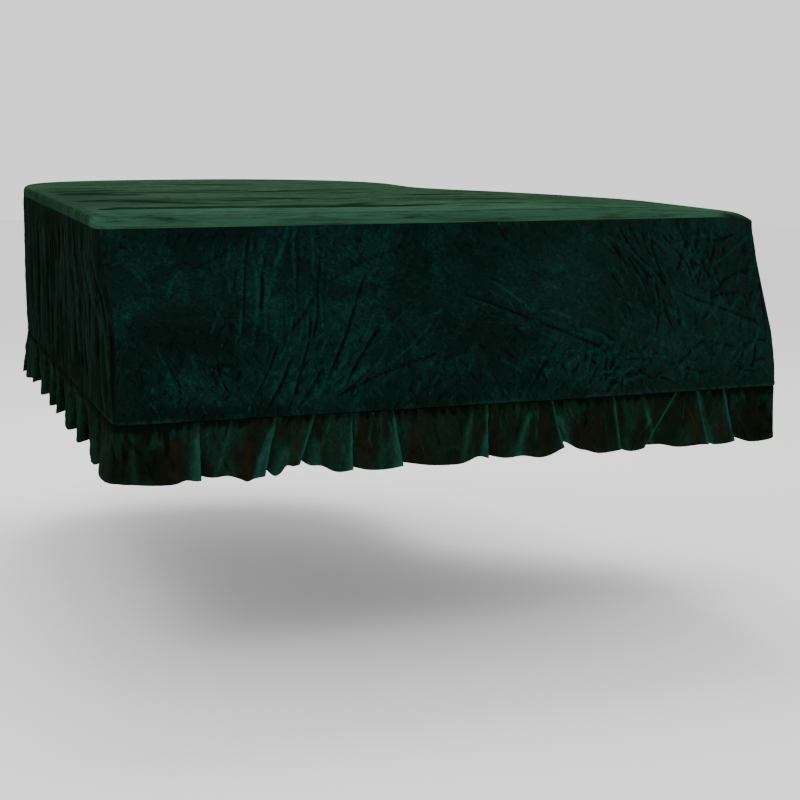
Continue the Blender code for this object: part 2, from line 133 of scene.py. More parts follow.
def tail_quarter(half_width, squareness, start_degrees, end_degrees, steps=40):
    """Points of one side of the tail, a quarter of a squared ellipse."""
    angle = np.radians(np.linspace(start_degrees, end_degrees, steps + 1))
    across = np.copysign(np.abs(np.cos(angle)) ** (2 / squareness), np.cos(angle))
    along = np.abs(np.sin(angle)) ** (2 / squareness)
    x = TAIL_MIDDLE_X + half_width * across
    y = TAIL_START_Y + (TOP_LENGTH - TAIL_START_Y) * along
    return list(zip(x.tolist(), y.tolist()))


def cut_outline():
    """The top's outline, from the middle of the left front corner, along the front first."""
    front_left = (0.0, 0.0)
    front_right = (TOP_WIDTH, 0.0)
    cheek_back = (TOP_WIDTH, CHEEK_LENGTH)
    waist = (TAIL_WIDTH, WAIST_Y)
    tail_right = (TAIL_WIDTH, TAIL_START_Y)
    tail_left = (0.0, TAIL_START_Y)
    first_corner = fillet(tail_left, front_left, front_right, FRONT_CORNER_RADIUS)
    half = len(first_corner) // 2
    points = first_corner[half:]
    points += fillet(front_left, front_right, cheek_back, FRONT_CORNER_RADIUS)
    points += fillet(front_right, cheek_back, waist, CHEEK_RADIUS)
    points += fillet(cheek_back, waist, tail_right, WAIST_RADIUS)
    points += tail_quarter(TAIL_WIDTH - TAIL_MIDDLE_X, TAIL_BENTSIDE_SQUARENESS, 0, 90)
    points += tail_quarter(TAIL_MIDDLE_X, TAIL_BASS_SQUARENESS, 90, 180)[1:]
    return np.array(points + first_corner[:half + 1])


OUTLINE = cut_outline()
OUTLINE_RUN = np.concatenate(([0.0], np.cumsum(np.linalg.norm(np.diff(OUTLINE, axis=0), axis=1))))
GIRTH = float(OUTLINE_RUN[-1])


def edge_place(run):
    """Plan point at a distance round the outline, which closes on itself."""
    run = np.mod(run, GIRTH)
    return np.stack([
        np.interp(run, OUTLINE_RUN, OUTLINE[:, 0]),
        np.interp(run, OUTLINE_RUN, OUTLINE[:, 1]),
    ], axis=-1)


def edge_outward(run, reach=0.006):
    """Outward direction in plan, read over a short stretch so that it turns smoothly."""
    along = edge_place(run + reach) - edge_place(run - reach)
    along /= np.linalg.norm(along, axis=-1, keepdims=True)
    return np.stack([along[..., 1], -along[..., 0]], axis=-1)


def run_at(x, y):
    """Distance along the outline of its point nearest to x, y."""
    return float(OUTLINE_RUN[np.argmin(np.hypot(OUTLINE[:, 0] - x, OUTLINE[:, 1] - y))])


CORNER_INSET = FRONT_CORNER_RADIUS * (1 - math.sqrt(0.5))
JOIN_TREBLE = run_at(TOP_WIDTH - CORNER_INSET, CORNER_INSET)
JOIN_TAIL_BENTSIDE = run_at(TAIL_WIDTH, TAIL_START_Y)
JOIN_TAIL_BASS = run_at(0.0, TAIL_START_Y)
JOINS = {
    "front": (0.0, JOIN_TREBLE),
    "bentside": (JOIN_TREBLE, JOIN_TAIL_BENTSIDE),
    "tail": (JOIN_TAIL_BENTSIDE, JOIN_TAIL_BASS),
    "bass": (JOIN_TAIL_BASS, GIRTH),
}
print("girth:", round(GIRTH, 3), "joins:", JOINS)

# %% [markdown]
# A side panel hangs straight down, except at the front: there the cloth first falls short of
# what it covers and then comes forward over it, earlier at the left than at the right. The
# hanging surface is one function of two distances, round the outline and down from the edge,
# so creases can be drawn on it as on flat cloth and are lifted off it at the end.

# %% Hanging surface
EDGE_ROLL = 0.026
TREBLE_FALL = 0.020
SKIRT_DROP = 0.380
FLOUNCE_DROP = 0.120
FRONT_STEP = 0.150
FRONT_STEP_REACH = 0.55
BASS_STEP = (0.030, 0.200)
TREBLE_STEP = (-0.020, 0.385)
STEP_SETTLES = 0.04
TREBLE_TUCK = 0.012
TUCK_FROM = 0.6
SHOULDER_SAG = 0.014
SHOULDER_REACH = 0.055
SAG_FADES = 0.16


def smooth_step(value):
    """Rises from 0 to 1 with no corner at either end."""
    share = np.clip(value, 0.0, 1.0)
    return share * share * (3.0 - 2.0 * share)


def shoulder_sag(x, y):
    """How far the cloth sags at the right front corner, which makes a soft shoulder there."""
    return SHOULDER_SAG * np.exp(-((x - TOP_WIDTH) ** 2 + y ** 2) / SHOULDER_REACH ** 2)


def hang(run, drop, out=0.0):
    """Point of the cloth at a distance round the outline, a drop below the edge, and a lift."""
    plan = edge_place(run)
    outward = edge_outward(run)
    across = plan[..., 0] / TOP_WIDTH
    step_starts = BASS_STEP[0] + (TREBLE_STEP[0] - BASS_STEP[0]) * across
    step_ends = BASS_STEP[1] + (TREBLE_STEP[1] - BASS_STEP[1]) * across
    forward = smooth_step((drop - step_starts) / (step_ends - step_starts))
    forward = forward * smooth_step(drop / STEP_SETTLES)
    step = FRONT_STEP * forward * (1 - smooth_step(plan[..., 1] / FRONT_STEP_REACH))
    tuck = smooth_step(drop / SKIRT_DROP) * smooth_step((across - TUCK_FROM) / (1 - TUCK_FROM))
    out = out - TREBLE_TUCK * tuck
    x = plan[..., 0] + outward[..., 0] * out - ORIGIN_FROM_BASS
    y = plan[..., 1] + outward[..., 1] * out - step - ORIGIN_FROM_FRONT
    sag = shoulder_sag(plan[..., 0], plan[..., 1]) * (1 - smooth_step(drop / SAG_FADES))
    return np.stack([x, y, CLOTH - EDGE_ROLL - drop - sag], axis=-1)


def faces_out(places):
    """Direction that a grid of points looks in, its columns running round and its rows down."""
    facing = np.cross(np.gradient(places, axis=1), np.gradient(places, axis=0))
    return facing / np.linalg.norm(facing, axis=-1, keepdims=True)


print("front hem comes forward by", FRONT_STEP, "m")

# %% [markdown]
# A crease in velvet is a narrow ridge or trough with soft shoulders, straight or slightly bowed,
# that fades out at its ends. One row of a table holds one crease: where it starts and ends, how
# far it bows, how high it stands and how wide it is. Drawing each only near its own line keeps
# hundreds of them quick. The broad shape is later taken off again, which leaves the crests and
# hollows on which the finish paints a highlight and shade.

# %% Creases as rows of a table
RIDGE_SHARE = 0.48
TROUGH_RISE = -0.9
CREASE_BOW = 0.12


def lay_creases(height, across, drops, creases, sharpness=2.0):
    """Adds creases to a grid of heights: start, end, bow, rise and half width of each."""
    for x0, drop0, x1, drop1, bow, rise, half_width in creases:
        reach = 3.5 * half_width + abs(bow)
        first, last = np.searchsorted(across, (min(x0, x1) - reach, max(x0, x1) + reach))
        top, bottom = np.searchsorted(drops, (min(drop0, drop1) - reach, max(drop0, drop1) + reach))
        from_start = across[first:last, None] - x0
        below_start = drops[None, top:bottom] - drop0
        length = math.hypot(x1 - x0, drop1 - drop0)
        share = (from_start * (x1 - x0) + below_start * (drop1 - drop0)) / length ** 2
        aside = (from_start * (drop1 - drop0) - below_start * (x1 - x0)) / length
        aside = aside - bow * (1 - (2 * share - 1) ** 2)
        taper = smooth_step(share / 0.2) * smooth_step((1 - share) / 0.2)
        height[first:last, top:bottom] += rise * taper / (1 + (aside / half_width) ** 2) ** sharpness


def scatter_creases(seed, regions):
    """Rows of small creases, scattered over regions of the cloth with one main direction each."""
    chance = np.random.default_rng(seed)
    rows = []
    for region in regions:
        middle, drop, half_across, half_drop, degrees, spread, count, length, rise, half_width = region
        for _ in range(count):
            x = middle + half_across * chance.uniform(-1, 1)
            y = drop + half_drop * chance.uniform(-1, 1)
            angle = math.radians(degrees + spread * chance.normal())
            half = 0.5 * length * chance.uniform(0.5, 1.5)
            lift = rise * chance.uniform(0.35, 1.25)
            lift *= 1 if chance.random() < RIDGE_SHARE else TROUGH_RISE
            rows.append((
                x - half * math.cos(angle), y - half * math.sin(angle),
                x + half * math.cos(angle), y + half * math.sin(angle),
                half * chance.normal() * CREASE_BOW, lift, half_width * chance.uniform(0.7, 1.5),
            ))
    return rows


def soften(field, reach):
    """Averages a grid over its neighbours, so that only its broad shape is left."""
    for axis in (0, 1, 0, 1):
        padding = [(0, 0), (0, 0)]
        padding[axis] = (reach + 1, reach)
        total = np.cumsum(np.pad(field, padding, mode="edge"), axis=axis)
        width = 2 * reach + 1
        upper = np.take(total, range(width, total.shape[axis]), axis=axis)
        lower = np.take(total, range(total.shape[axis] - width), axis=axis)
        field = (upper - lower) / width
    return field


def crests(height, scale, reach):
    """From -1 in a hollow to 1 on a crest, less the broad shape of a reach: the finish paints shade in
    the hollows and a highlight on the crests.
    """
    return np.clip((height - soften(height, reach)) / scale, -1, 1)


print("crease tools ready")

# %% [markdown]
# Every sheet is the same kind of thing: a grid of points on the outer face, a cloth's thickness
# behind it, closed all round. A mesh made from the grid and a Solidify modifier give that. Marks
# for the finish are stored on its points, and the cloth's own lengths in metres become its UV
# map. The inner face gets the backing.

# %% Sheet maker
PIECES = {}
BACKING_SLOT = 1


def make_sheet(name, points, faces, marks, lengths):
    """Turns one face of cloth into a closed sheet with its marks and its UV map in metres."""
    mesh = bpy.data.meshes.new(name)
    mesh.from_pydata(points.tolist(), [], faces.tolist())
    for mark, values in marks.items():
        mesh.attributes.new(mark, "FLOAT", "POINT").data.foreach_set("value", values.ravel())
    corner = np.empty(len(mesh.loops), dtype=np.int32)
    mesh.loops.foreach_get("vertex_index", corner)
    mesh.uv_layers.new(name="cloth").data.foreach_set("uv", lengths[corner].ravel())
    sheet = bpy.data.objects.new(name, mesh)
    bpy.context.collection.objects.link(sheet)
    bpy.context.view_layer.objects.active = sheet
    sheet.select_set(True)
    wall = sheet.modifiers.new("wall", "SOLIDIFY")
    wall.thickness = CLOTH
    wall.offset = -1
    bpy.ops.object.modifier_apply(modifier=wall.name)
    slot_of_face = np.zeros(len(sheet.data.polygons), dtype=np.int32)
    slot_of_face[len(faces):2 * len(faces)] = BACKING_SLOT
    sheet.data.polygons.foreach_set("material_index", slot_of_face)
    sheet.data.shade_smooth()
    sheet.data.set_sharp_from_angle(angle=math.radians(62))
    sheet.select_set(False)
    PIECES[name] = sheet
    print(name, "triangles:", sum(len(face.vertices) - 2 for face in sheet.data.polygons))
    return sheet


def grid_faces(columns, rows):
    """Quads of a grid of points, so turned that they face out."""
    corner = np.arange(columns * rows).reshape(columns, rows)
    quads = np.stack([corner[:-1, :-1], corner[:-1, 1:], corner[1:, 1:], corner[1:, :-1]], axis=-1)
    return quads.reshape(-1, 4)


def grid_sheet(name, places, marks, along, down):
    """A sheet from a grid of points, its columns running round and its rows down."""
    columns, rows = places.shape[:2]
    lengths = np.stack(np.broadcast_arrays(along, down), axis=-1).reshape(-1, 2)
    return make_sheet(name, places.reshape(-1, 3), grid_faces(columns, rows), marks, lengths)


print("sheet maker ready")

# %% [markdown]
# The front panel is what the eye meets first. Its creases come from folding: a bundle that runs
# down from the top left of the middle, a fan that rises to the right from the lower seam, and
# long diagonals on the right. These are placed one by one, then smaller ones are scattered round
# them in the same directions.

# %% Front creases
FRONT_FOLDS = (
    (0.27, 0.03, 0.13, 0.13, 0.012, 0.0030, 0.022),
    (0.33, 0.02, 0.25, 0.29, 0.010, 0.0032, 0.024),
    (0.41, 0.02, 0.38, 0.24, 0.004, -0.0030, 0.022),
    (0.48, 0.01, 0.33, 0.29, 0.012, 0.0034, 0.024),
    (0.75, 0.03, 0.45, 0.14, -0.020, 0.0032, 0.025),
    (0.78, 0.12, 1.15, 0.29, 0.006, 0.0034, 0.024),
    (1.16, 0.01, 1.27, 0.14, 0.006, 0.0032, 0.024),
    (1.26, 0.14, 1.48, 0.23, -0.006, 0.0034, 0.024),
    (0.45, 0.35, 0.77, 0.16, 0.008, 0.0034, 0.024),
    (0.40, 0.30, 0.64, 0.08, 0.006, -0.0030, 0.024),
    (0.50, 0.36, 0.76, 0.26, 0.004, -0.0030, 0.022),
    (1.10, 0.35, 1.30, 0.27, 0.004, 0.0034, 0.024),
    (1.44, 0.04, 1.31, 0.22, 0.008, -0.0032, 0.024),
)
FRONT_CREASES = (
    (0.300, 0.028, 0.172, 0.087, 0.007, -0.0032, 0.0052),
    (0.176, 0.082, 0.122, 0.143, -0.007, 0.0030, 0.0044),
    (0.322, 0.008, 0.268, 0.192, 0.003, -0.0036, 0.0044),
    (0.357, 0.012, 0.305, 0.162, 0.002, 0.0026, 0.0042),
    (0.401, 0.030, 0.305, 0.195, 0.000, 0.0030, 0.0044),
    (0.292, 0.012, 0.248, 0.110, 0.004, 0.0024, 0.0040),
    (0.470, 0.060, 0.413, 0.232, 0.003, -0.0034, 0.0056),
    (0.705, 0.040, 0.448, 0.130, -0.012, -0.0044, 0.0068),
    (0.456, 0.122, 0.339, 0.228, 0.004, -0.0040, 0.0054),
    (0.343, 0.220, 0.286, 0.345, 0.005, -0.0034, 0.0046),
    (0.574, 0.088, 0.437, 0.332, -0.010, -0.0048, 0.0052),
    (0.578, 0.188, 0.488, 0.322, -0.006, -0.0044, 0.0048),
    (0.527, 0.250, 0.482, 0.335, -0.004, -0.0034, 0.0042),
    (0.715, 0.258, 0.440, 0.356, -0.010, -0.0050, 0.0076),
    (0.369, 0.260, 0.309, 0.374, 0.004, -0.0034, 0.0044),
    (0.421, 0.170, 0.366, 0.362, 0.002, -0.0036, 0.0046),
    (0.444, 0.265, 0.374, 0.374, 0.004, -0.0034, 0.0042),
    (0.158, 0.254, 0.250, 0.300, 0.004, -0.0034, 0.0048),
    (0.213, 0.262, 0.244, 0.335, -0.006, -0.0028, 0.0042),
    (0.060, 0.075, 0.100, 0.130, 0.004, 0.0022, 0.0042),
    (1.182, 0.008, 1.252, 0.112, -0.008, -0.0044, 0.0050),
    (1.208, 0.045, 1.183, 0.110, 0.003, 0.0024, 0.0040),
    (0.757, 0.145, 0.941, 0.216, 0.004, -0.0036, 0.0066),
    (0.925, 0.210, 1.095, 0.281, 0.005, -0.0044, 0.0070),
    (1.285, 0.153, 1.522, 0.241, -0.004, -0.0044, 0.0070),
    (1.383, 0.182, 1.434, 0.166, 0.002, -0.0028, 0.0040),
    (1.527, 0.028, 1.404, 0.112, 0.010, 0.0032, 0.0044),
    (1.190, 0.074, 1.226, 0.170, 0.008, -0.0032, 0.0044),
    (1.310, 0.060, 1.352, 0.125, 0.006, -0.0028, 0.0042),
    (0.943, 0.284, 0.897, 0.360, 0.004, -0.0036, 0.0044),
    (1.175, 0.307, 1.088, 0.342, 0.003, 0.0030, 0.0040),
    (1.088, 0.272, 1.085, 0.338, 0.003, -0.0026, 0.0040),
    (1.156, 0.311, 1.215, 0.348, -0.006, -0.0030, 0.0042),
    (1.241, 0.250, 1.224, 0.334, 0.003, 0.0028, 0.0042),
    (1.252, 0.174, 1.224, 0.252, 0.003, -0.0028, 0.0040),
    (1.058, 0.280, 1.038, 0.345, 0.002, -0.0028, 0.0042),
    (1.536, 0.006, 1.500, 0.180, 0.002, 0.0038, 0.0048),
    (1.542, 0.060, 1.520, 0.250, 0.002, -0.0036, 0.0056),
    (1.460, 0.050, 1.395, 0.150, 0.006, -0.0026, 0.0042),
    (1.184, 0.046, 1.230, 0.157, 0.004, 0.0026, 0.0040),
    (1.225, 0.095, 1.194, 0.176, 0.002, 0.0028, 0.0040),
    (1.256, 0.124, 1.246, 0.220, 0.002, -0.0028, 0.0042),
    (1.072, 0.323, 1.173, 0.319, -0.004, 0.0032, 0.0042),
    (1.122, 0.344, 1.228, 0.283, 0.004, -0.0036, 0.0044),
    (1.246, 0.236, 1.250, 0.290, 0.002, 0.0030, 0.0042),
    (1.300, 0.300, 1.339, 0.367, -0.004, 0.0030, 0.0042),
    (1.010, 0.236, 1.045, 0.250, 0.002, 0.0036, 0.0052),
)
FRONT_FINE_CREASES = (
    (0.36, 0.110, 0.12, 0.11, 106, 5, 70, 0.120, 0.0019, 0.0030),
    (0.33, 0.245, 0.12, 0.08, 113, 7, 34, 0.090, 0.0019, 0.0032),
    (0.58, 0.250, 0.15, 0.10, -42, 9, 46, 0.110, 0.0019, 0.0034),
    (0.62, 0.070, 0.12, 0.06, -58, 14, 40, 0.060, 0.0016, 0.0030),
    (0.96, 0.210, 0.18, 0.11, 27, 9, 34, 0.090, 0.0014, 0.0032),
    (1.00, 0.080, 0.18, 0.07, 10, 30, 16, 0.070, 0.0009, 0.0034),
    (1.28, 0.130, 0.14, 0.10, 72, 18, 110, 0.060, 0.0026, 0.0030),
    (1.42, 0.160, 0.10, 0.12, -55, 24, 70, 0.070, 0.0024, 0.0030),
    (1.20, 0.310, 0.30, 0.05, -35, 34, 110, 0.055, 0.0026, 0.0030),
    (0.12, 0.160, 0.11, 0.14, 100, 30, 40, 0.045, 0.0013, 0.0030),
    (0.26, 0.310, 0.22, 0.05, 30, 60, 70, 0.040, 0.0016, 0.0030),
    (0.80, 0.325, 0.72, 0.045, 85, 36, 220, 0.035, 0.0014, 0.0028),
    (0.77, 0.190, 0.77, 0.19, 90, 70, 420, 0.036, 0.0009, 0.0028),
)
FRONT_PALE_PATCHES = (
    (0.38, 0.315, 0.16, 0.040, 0.50),
    (0.63, 0.295, 0.12, 0.040, 0.45),
    (0.16, 0.300, 0.07, 0.030, 0.30),
    (0.34, 0.120, 0.12, 0.080, 0.25),
    (0.50, 0.180, 0.06, 0.060, 0.25),
    (0.60, 0.045, 0.07, 0.035, 0.30),
    (1.04, 0.300, 0.10, 0.040, 0.35),
    (1.38, 0.300, 0.14, 0.045, 0.45),
    (1.34, 0.190, 0.08, 0.040, 0.30),
    (1.02, 0.080, 0.14, 0.060, 0.12),
    (0.17, 0.200, 0.11, 0.050, -0.45),
    (0.70, 0.110, 0.09, 0.070, -0.35),
    (0.82, 0.220, 0.10, 0.050, -0.30),
    (0.47, 0.105, 0.04, 0.035, -0.40),
    (1.21, 0.190, 0.07, 0.060, -0.45),
    (0.20, 0.365, 0.20, 0.014, -0.50),
    (0.90, 0.040, 0.12, 0.035, -0.15),
    (1.36, 0.120, 0.22, 0.160, 0.15),
)
FRONT_SPACING = (0.0031, 0.0042)
FRONT_SEED = 11
# How near to a panel's joins, its top and its lower seam its folds fade out.
MAIN_ROOM = (0.04, 0.03, 0.05)
WAVE_ROOM = (0.04, 0.02, 0.05)
FINE_ROOM = (0.012, 0.010, 0.006)
# The height that counts as a full crest, and the reach of the broad shape that is taken off.
MAIN_CREST = (0.0020, 9)
PLACED_CREST = (0.0022, 4)
SCATTERED_CREST = (0.0018, 3)
LIT_CREST = (0.0028, 3)
SIDE_CREST = (0.0016, 7)
FLOUNCE_CREST = (0.0016, 4)
LIT_ASIDE = 0.0055
LIT_HALF_WIDTH = 0.0026
# The dull right half: where it begins across the panel, how far it takes to build up, how dull.
DULL_FROM = 0.75
DULL_OVER = 0.55
DULL_SHARE = 0.45
BEAD_RISE = 0.0016
BEAD_ABOVE_SEAM = 0.0055
SHINE_ABOVE_SEAM = 0.0035
BEAD_HALF_WIDTH = 0.0040
PUCKER_PITCH = 0.013
PUCKER_RISE = 0.0007
PUCKER_HALF_WIDTH = 0.0030
PUCKER_INSET = 0.02
PUCKER_LENGTH = 0.03


def pale_patches(across, drop):
    """Broad patches where the pile is laid one way or the other."""
    pale = np.zeros(np.broadcast(across, drop).shape)
    for x, y, half_across, half_down, strength in FRONT_PALE_PATCHES:
        pale += strength * np.exp(-((across - x) / half_across) ** 2 - ((drop - y) / half_down) ** 2)
    return np.clip(pale, -0.6, 0.6)


def skirt_room(side, run, drop, at_joins, at_top, at_seam):
    """Lets folds fade out at a panel's joins, at its top and at its lower seam."""
    start, end = JOINS[side]
    near_join = np.minimum(run - start, end - run)
    return (
        smooth_step(near_join / at_joins) * smooth_step(drop / at_top)
        * smooth_step((SKIRT_DROP - drop) / at_seam)
    )


def lit_sides(creases):
    """Thin pale lines just left of the creases, where their edges catch the light."""
    return [(x0 - LIT_ASIDE, drop0, x1 - LIT_ASIDE, drop1, bow, abs(rise), LIT_HALF_WIDTH)
            for x0, drop0, x1, drop1, bow, rise, _ in creases]


def seam_roll(drop):
    """The panel's lower edge, turned under: a soft bead just above the flounce."""
    return BEAD_RISE * np.exp(-((SKIRT_DROP - BEAD_ABOVE_SEAM - drop) / BEAD_HALF_WIDTH) ** 2)


def seam_puckers(seed, start, end, drop0, drop1, rise=PUCKER_RISE):
    """Small upright puckers where the gathered flounce pulls at a seam."""
    chance = np.random.default_rng(seed)
    rows = []
    for place in np.arange(start, end, PUCKER_PITCH):
        x = place + PUCKER_PITCH * 0.4 * chance.normal()
        reach = (drop1 - drop0) * chance.uniform(0.4, 1.2)
        rows.append((
            x, drop0 - 0.3 * reach, x + 0.004 * chance.normal(), drop0 + reach,
            0.0, rise * chance.uniform(0.4, 1.4) * chance.choice((-1, 1)), PUCKER_HALF_WIDTH,
        ))
    return rows


def skirt_grid(side, run_spacing, drop_spacing):
    """Distances round and down of one panel's grid points."""
    start, end = JOINS[side]
    runs = np.linspace(start + SEAM_GAP / 2, end - SEAM_GAP / 2, round((end - start) / run_spacing) + 1)
    drops = np.linspace(SEAM_GAP, SKIRT_DROP, round(SKIRT_DROP / drop_spacing) + 1)
    return runs, drops


def seam_shine(run, drop):
    """Painted highlight: a pale line along the panel's lower edge, where its turned-under bead catches
    the light, bright in places.
    """
    shine = np.clip(0.35 + 0.60 * np.sin(run * 11.0 + 2.0 * np.sin(run * 7.0)), 0.05, 1.0)
    return shine * np.exp(-((SKIRT_DROP - SHINE_ABOVE_SEAM - drop) / BEAD_HALF_WIDTH) ** 2)


def front_skirt():
    """The front panel with its creases."""
    runs, drops = skirt_grid("front", *FRONT_SPACING)
    # The slight slope keeps the places in rising order where the corners turn away.
    across = edge_place(runs)[:, 0] + np.linspace(0, 1e-6, len(runs))
    main, placed, lit, scattered = (np.zeros((len(runs), len(drops))) for _ in range(4))
    lay_creases(main, across, drops, FRONT_FOLDS)
    lay_creases(placed, across, drops, FRONT_CREASES, sharpness=3.5)
    lay_creases(lit, across, drops, lit_sides(FRONT_CREASES), sharpness=3.0)
    lay_creases(scattered, across, drops, scatter_creases(FRONT_SEED, FRONT_FINE_CREASES))
    lay_creases(scattered, across, drops,
                seam_puckers(FRONT_SEED + 1, PUCKER_INSET, TOP_WIDTH - PUCKER_INSET,
                             SKIRT_DROP, SKIRT_DROP - PUCKER_LENGTH))
    run, drop = np.meshgrid(runs, drops, indexing="ij")
    height = main * skirt_room("front", run, drop, *MAIN_ROOM)
    height += (placed + scattered) * skirt_room("front", run, drop, *FINE_ROOM)
    base = hang(run, drop)
    places = base + faces_out(base) * (height + seam_roll(drop))[..., None]
    # The crest mark paints highlights on the creases' ridges and shade in their troughs; the lit lines
    # and the seam's line are painted highlights.
    crest = crests(placed, *PLACED_CREST) + crests(scattered, *SCATTERED_CREST)
    crest += crests(lit, *LIT_CREST)
    crest += 0.2 * crests(main, *MAIN_CREST) + seam_shine(run, drop)
    across = across[:, None]
    duller = DULL_SHARE * smooth_step((across - DULL_FROM) / DULL_OVER)
    marks = {
        "crest": np.clip(crest, -1, 1),
        "pale": pale_patches(across, drop),
        "recess": duller * (1 - np.clip(np.abs(crest), 0, 1)),
    }
    return grid_sheet("front_skirt_cloth", places, marks, run, drop)


front_skirt()

# %% [markdown]
# The left side hangs in many narrow upright folds, because the panel is held full at the top.
# Waves of uneven pitch give those, with upright creases scattered between them. The two hidden
# sides, round the waist and round the tail, hang in wider and softer waves of the same kind.

# %% Side panels
SIDE_FOLDS = {
    "bass": (0.062, 0.0065),
    "bentside": (0.125, 0.0075),
    "tail": (0.125, 0.0070),
}
SIDE_SPACING = {"bass": 0.0042, "bentside": 0.0052, "tail": 0.0060}
SIDE_SEEDS = {"bass": 21, "bentside": 31, "tail": 41}
SIDE_CREASE_SHARE = {"bass": 1.0, "bentside": 0.7, "tail": 0.7}
# How far the upright folds wander, and over how many of their own pitches.
SIDE_WANDER = ((1.5, 7.3), (0.7, 2.9))
# The left side's main creases. Their places are counted backwards from the front corner.
BASS_CREASES = (
    (0.50, 0.015, 0.47, 0.240, 0.010, -0.0065, 0.012),
    (0.57, 0.020, 0.58, 0.170, 0.004, -0.0055, 0.010),
    (0.37, 0.020, 0.34, 0.140, 0.004, -0.0055, 0.009),
    (0.30, 0.130, 0.31, 0.340, 0.004, -0.0050, 0.010),
    (0.24, 0.015, 0.22, 0.220, 0.004, 0.0045, 0.008),
    (0.17, 0.030, 0.11, 0.310, 0.008, 0.0045, 0.008),
    (0.12, 0.030, 0.03, 0.200, 0.006, -0.0060, 0.010),
    (0.07, 0.080, 0.04, 0.330, 0.004, 0.0040, 0.007),
    (0.42, 0.030, 0.41, 0.350, 0.008, 0.0050, 0.010),
    (0.63, 0.090, 0.66, 0.360, 0.010, 0.0045, 0.012),
    (0.70, 0.020, 0.71, 0.340, 0.010, -0.0050, 0.013),
    (0.86, 0.030, 0.84, 0.310, 0.010, 0.0050, 0.015),
    (1.00, 0.030, 1.02, 0.350, 0.010, -0.0055, 0.015),
)


def hanging_waves(side, run, drop):
    """Upright folds of one side panel, which swell and wander along it and deepen as they fall."""
    pitch, height = SIDE_FOLDS[side]
    turn = run * 2 * math.pi
    wander = sum(size * np.sin(turn / (pitches * pitch)) for size, pitches in SIDE_WANDER)
    swell = 0.75 + 0.25 * np.sin(turn / (4.1 * pitch) + 1.0)
    growth = 0.25 + 0.75 * smooth_step(drop / (0.7 * SKIRT_DROP))
    return height * swell * growth * np.sin(turn / pitch + wander)


def side_creases(side):
    """Regions of small creases on a side panel, nearly all upright."""
    start, end = JOINS[side]
    middle, half = (start + end) / 2, (end - start) / 2
    metres = SIDE_CREASE_SHARE[side] * 2 * half
    return (
        (middle, 0.190, half, 0.10, 90, 3.0, round(110 * metres), 0.250, 0.0026, 0.0042),
        (middle, 0.190, half, 0.18, 87, 7.0, round(140 * metres), 0.110, 0.0017, 0.0034),
        (middle, 0.220, half, 0.16, 60, 45.0, round(90 * metres), 0.050, 0.0008, 0.0034),
        (middle, 0.330, half, 0.05, 80, 30.0, round(60 * metres), 0.050, 0.0012, 0.0034),
    )


def side_skirt(side):
    """A side panel with its upright folds."""
    start, end = JOINS[side]
    runs, drops = skirt_grid(side, SIDE_SPACING[side], SIDE_SPACING[side])
    run, drop = np.meshgrid(runs, drops, indexing="ij")
    fine = np.zeros(run.shape)
    lay_creases(fine, runs, drops, scatter_creases(SIDE_SEEDS[side], side_creases(side)))
    lay_creases(fine, runs, drops,
                seam_puckers(SIDE_SEEDS[side] + 1, start + PUCKER_INSET, end - PUCKER_INSET,
                             SKIRT_DROP, SKIRT_DROP - PUCKER_LENGTH))
    if side == "bass":
        lay_creases(fine, runs, drops, [(GIRTH - x0, y0, GIRTH - x1, y1, *rest)
                                        for x0, y0, x1, y1, *rest in BASS_CREASES])
    waves = hanging_waves(side, run, drop) * skirt_room(side, run, drop, *WAVE_ROOM)
    height = waves + fine * skirt_room(side, run, drop, *FINE_ROOM)
    base = hang(run, drop)
    places = base + faces_out(base) * (height + seam_roll(drop))[..., None]
    # The crest mark also paints a highlight on the crests of the upright folds and shade in their
    # troughs, and a highlight along the seam.
    crest = crests(fine, *SIDE_CREST) + 0.5 * waves / SIDE_FOLDS[side][1] + seam_shine(run, drop)
    marks = {"crest": np.clip(crest, -1, 1), "pale": np.zeros_like(height)}
    return grid_sheet(side + "_skirt_cloth", places, marks, run, drop)


for side in SIDE_FOLDS:
    side_skirt(side)

# %% [markdown]
# The flounce is a strip of the same cloth laid in knife pleats that all fold the same way. Each
# pleat has a broad face that rises gently out of a recess, a rounded fold, and a steep return
# tucked under the fold into the next recess. A table says where each fold's edge lies at the
# seam and at the hem, how far it stands out and how much the hem lifts behind it. The hidden
# sides take uneven pleats from a formula.

# %% Pleats
FRONT_PLEATS = (
    (0.165, 0.165, 0.026, 0.006),
    (0.328, 0.298, 0.028, 0.018),
    (0.411, 0.373, 0.020, 0.010),
    (0.491, 0.488, 0.026, 0.004),
    (0.583, 0.601, 0.022, 0.004),
    (0.798, 0.795, 0.030, 0.006),
    (0.952, 0.975, 0.030, 0.010),
    (1.103, 1.118, 0.020, 0.004),
    (1.263, 1.175, 0.024, 0.004),
    (1.316, 1.344, 0.020, 0.006),
    (1.387, 1.412, 0.022, 0.008),
)
BASS_PLEATS = (
    (0.060, 0.064, 0.028, 0.004),
    (0.270, 0.278, 0.032, 0.006),
    (0.435, 0.440, 0.030, 0.004),
    (0.545, 0.550, 0.026, 0.008),
    (0.740, 0.749, 0.032, 0.004),
    (0.858, 0.864, 0.028, 0.006),
    (1.028, 1.034, 0.030, 0.008),
)
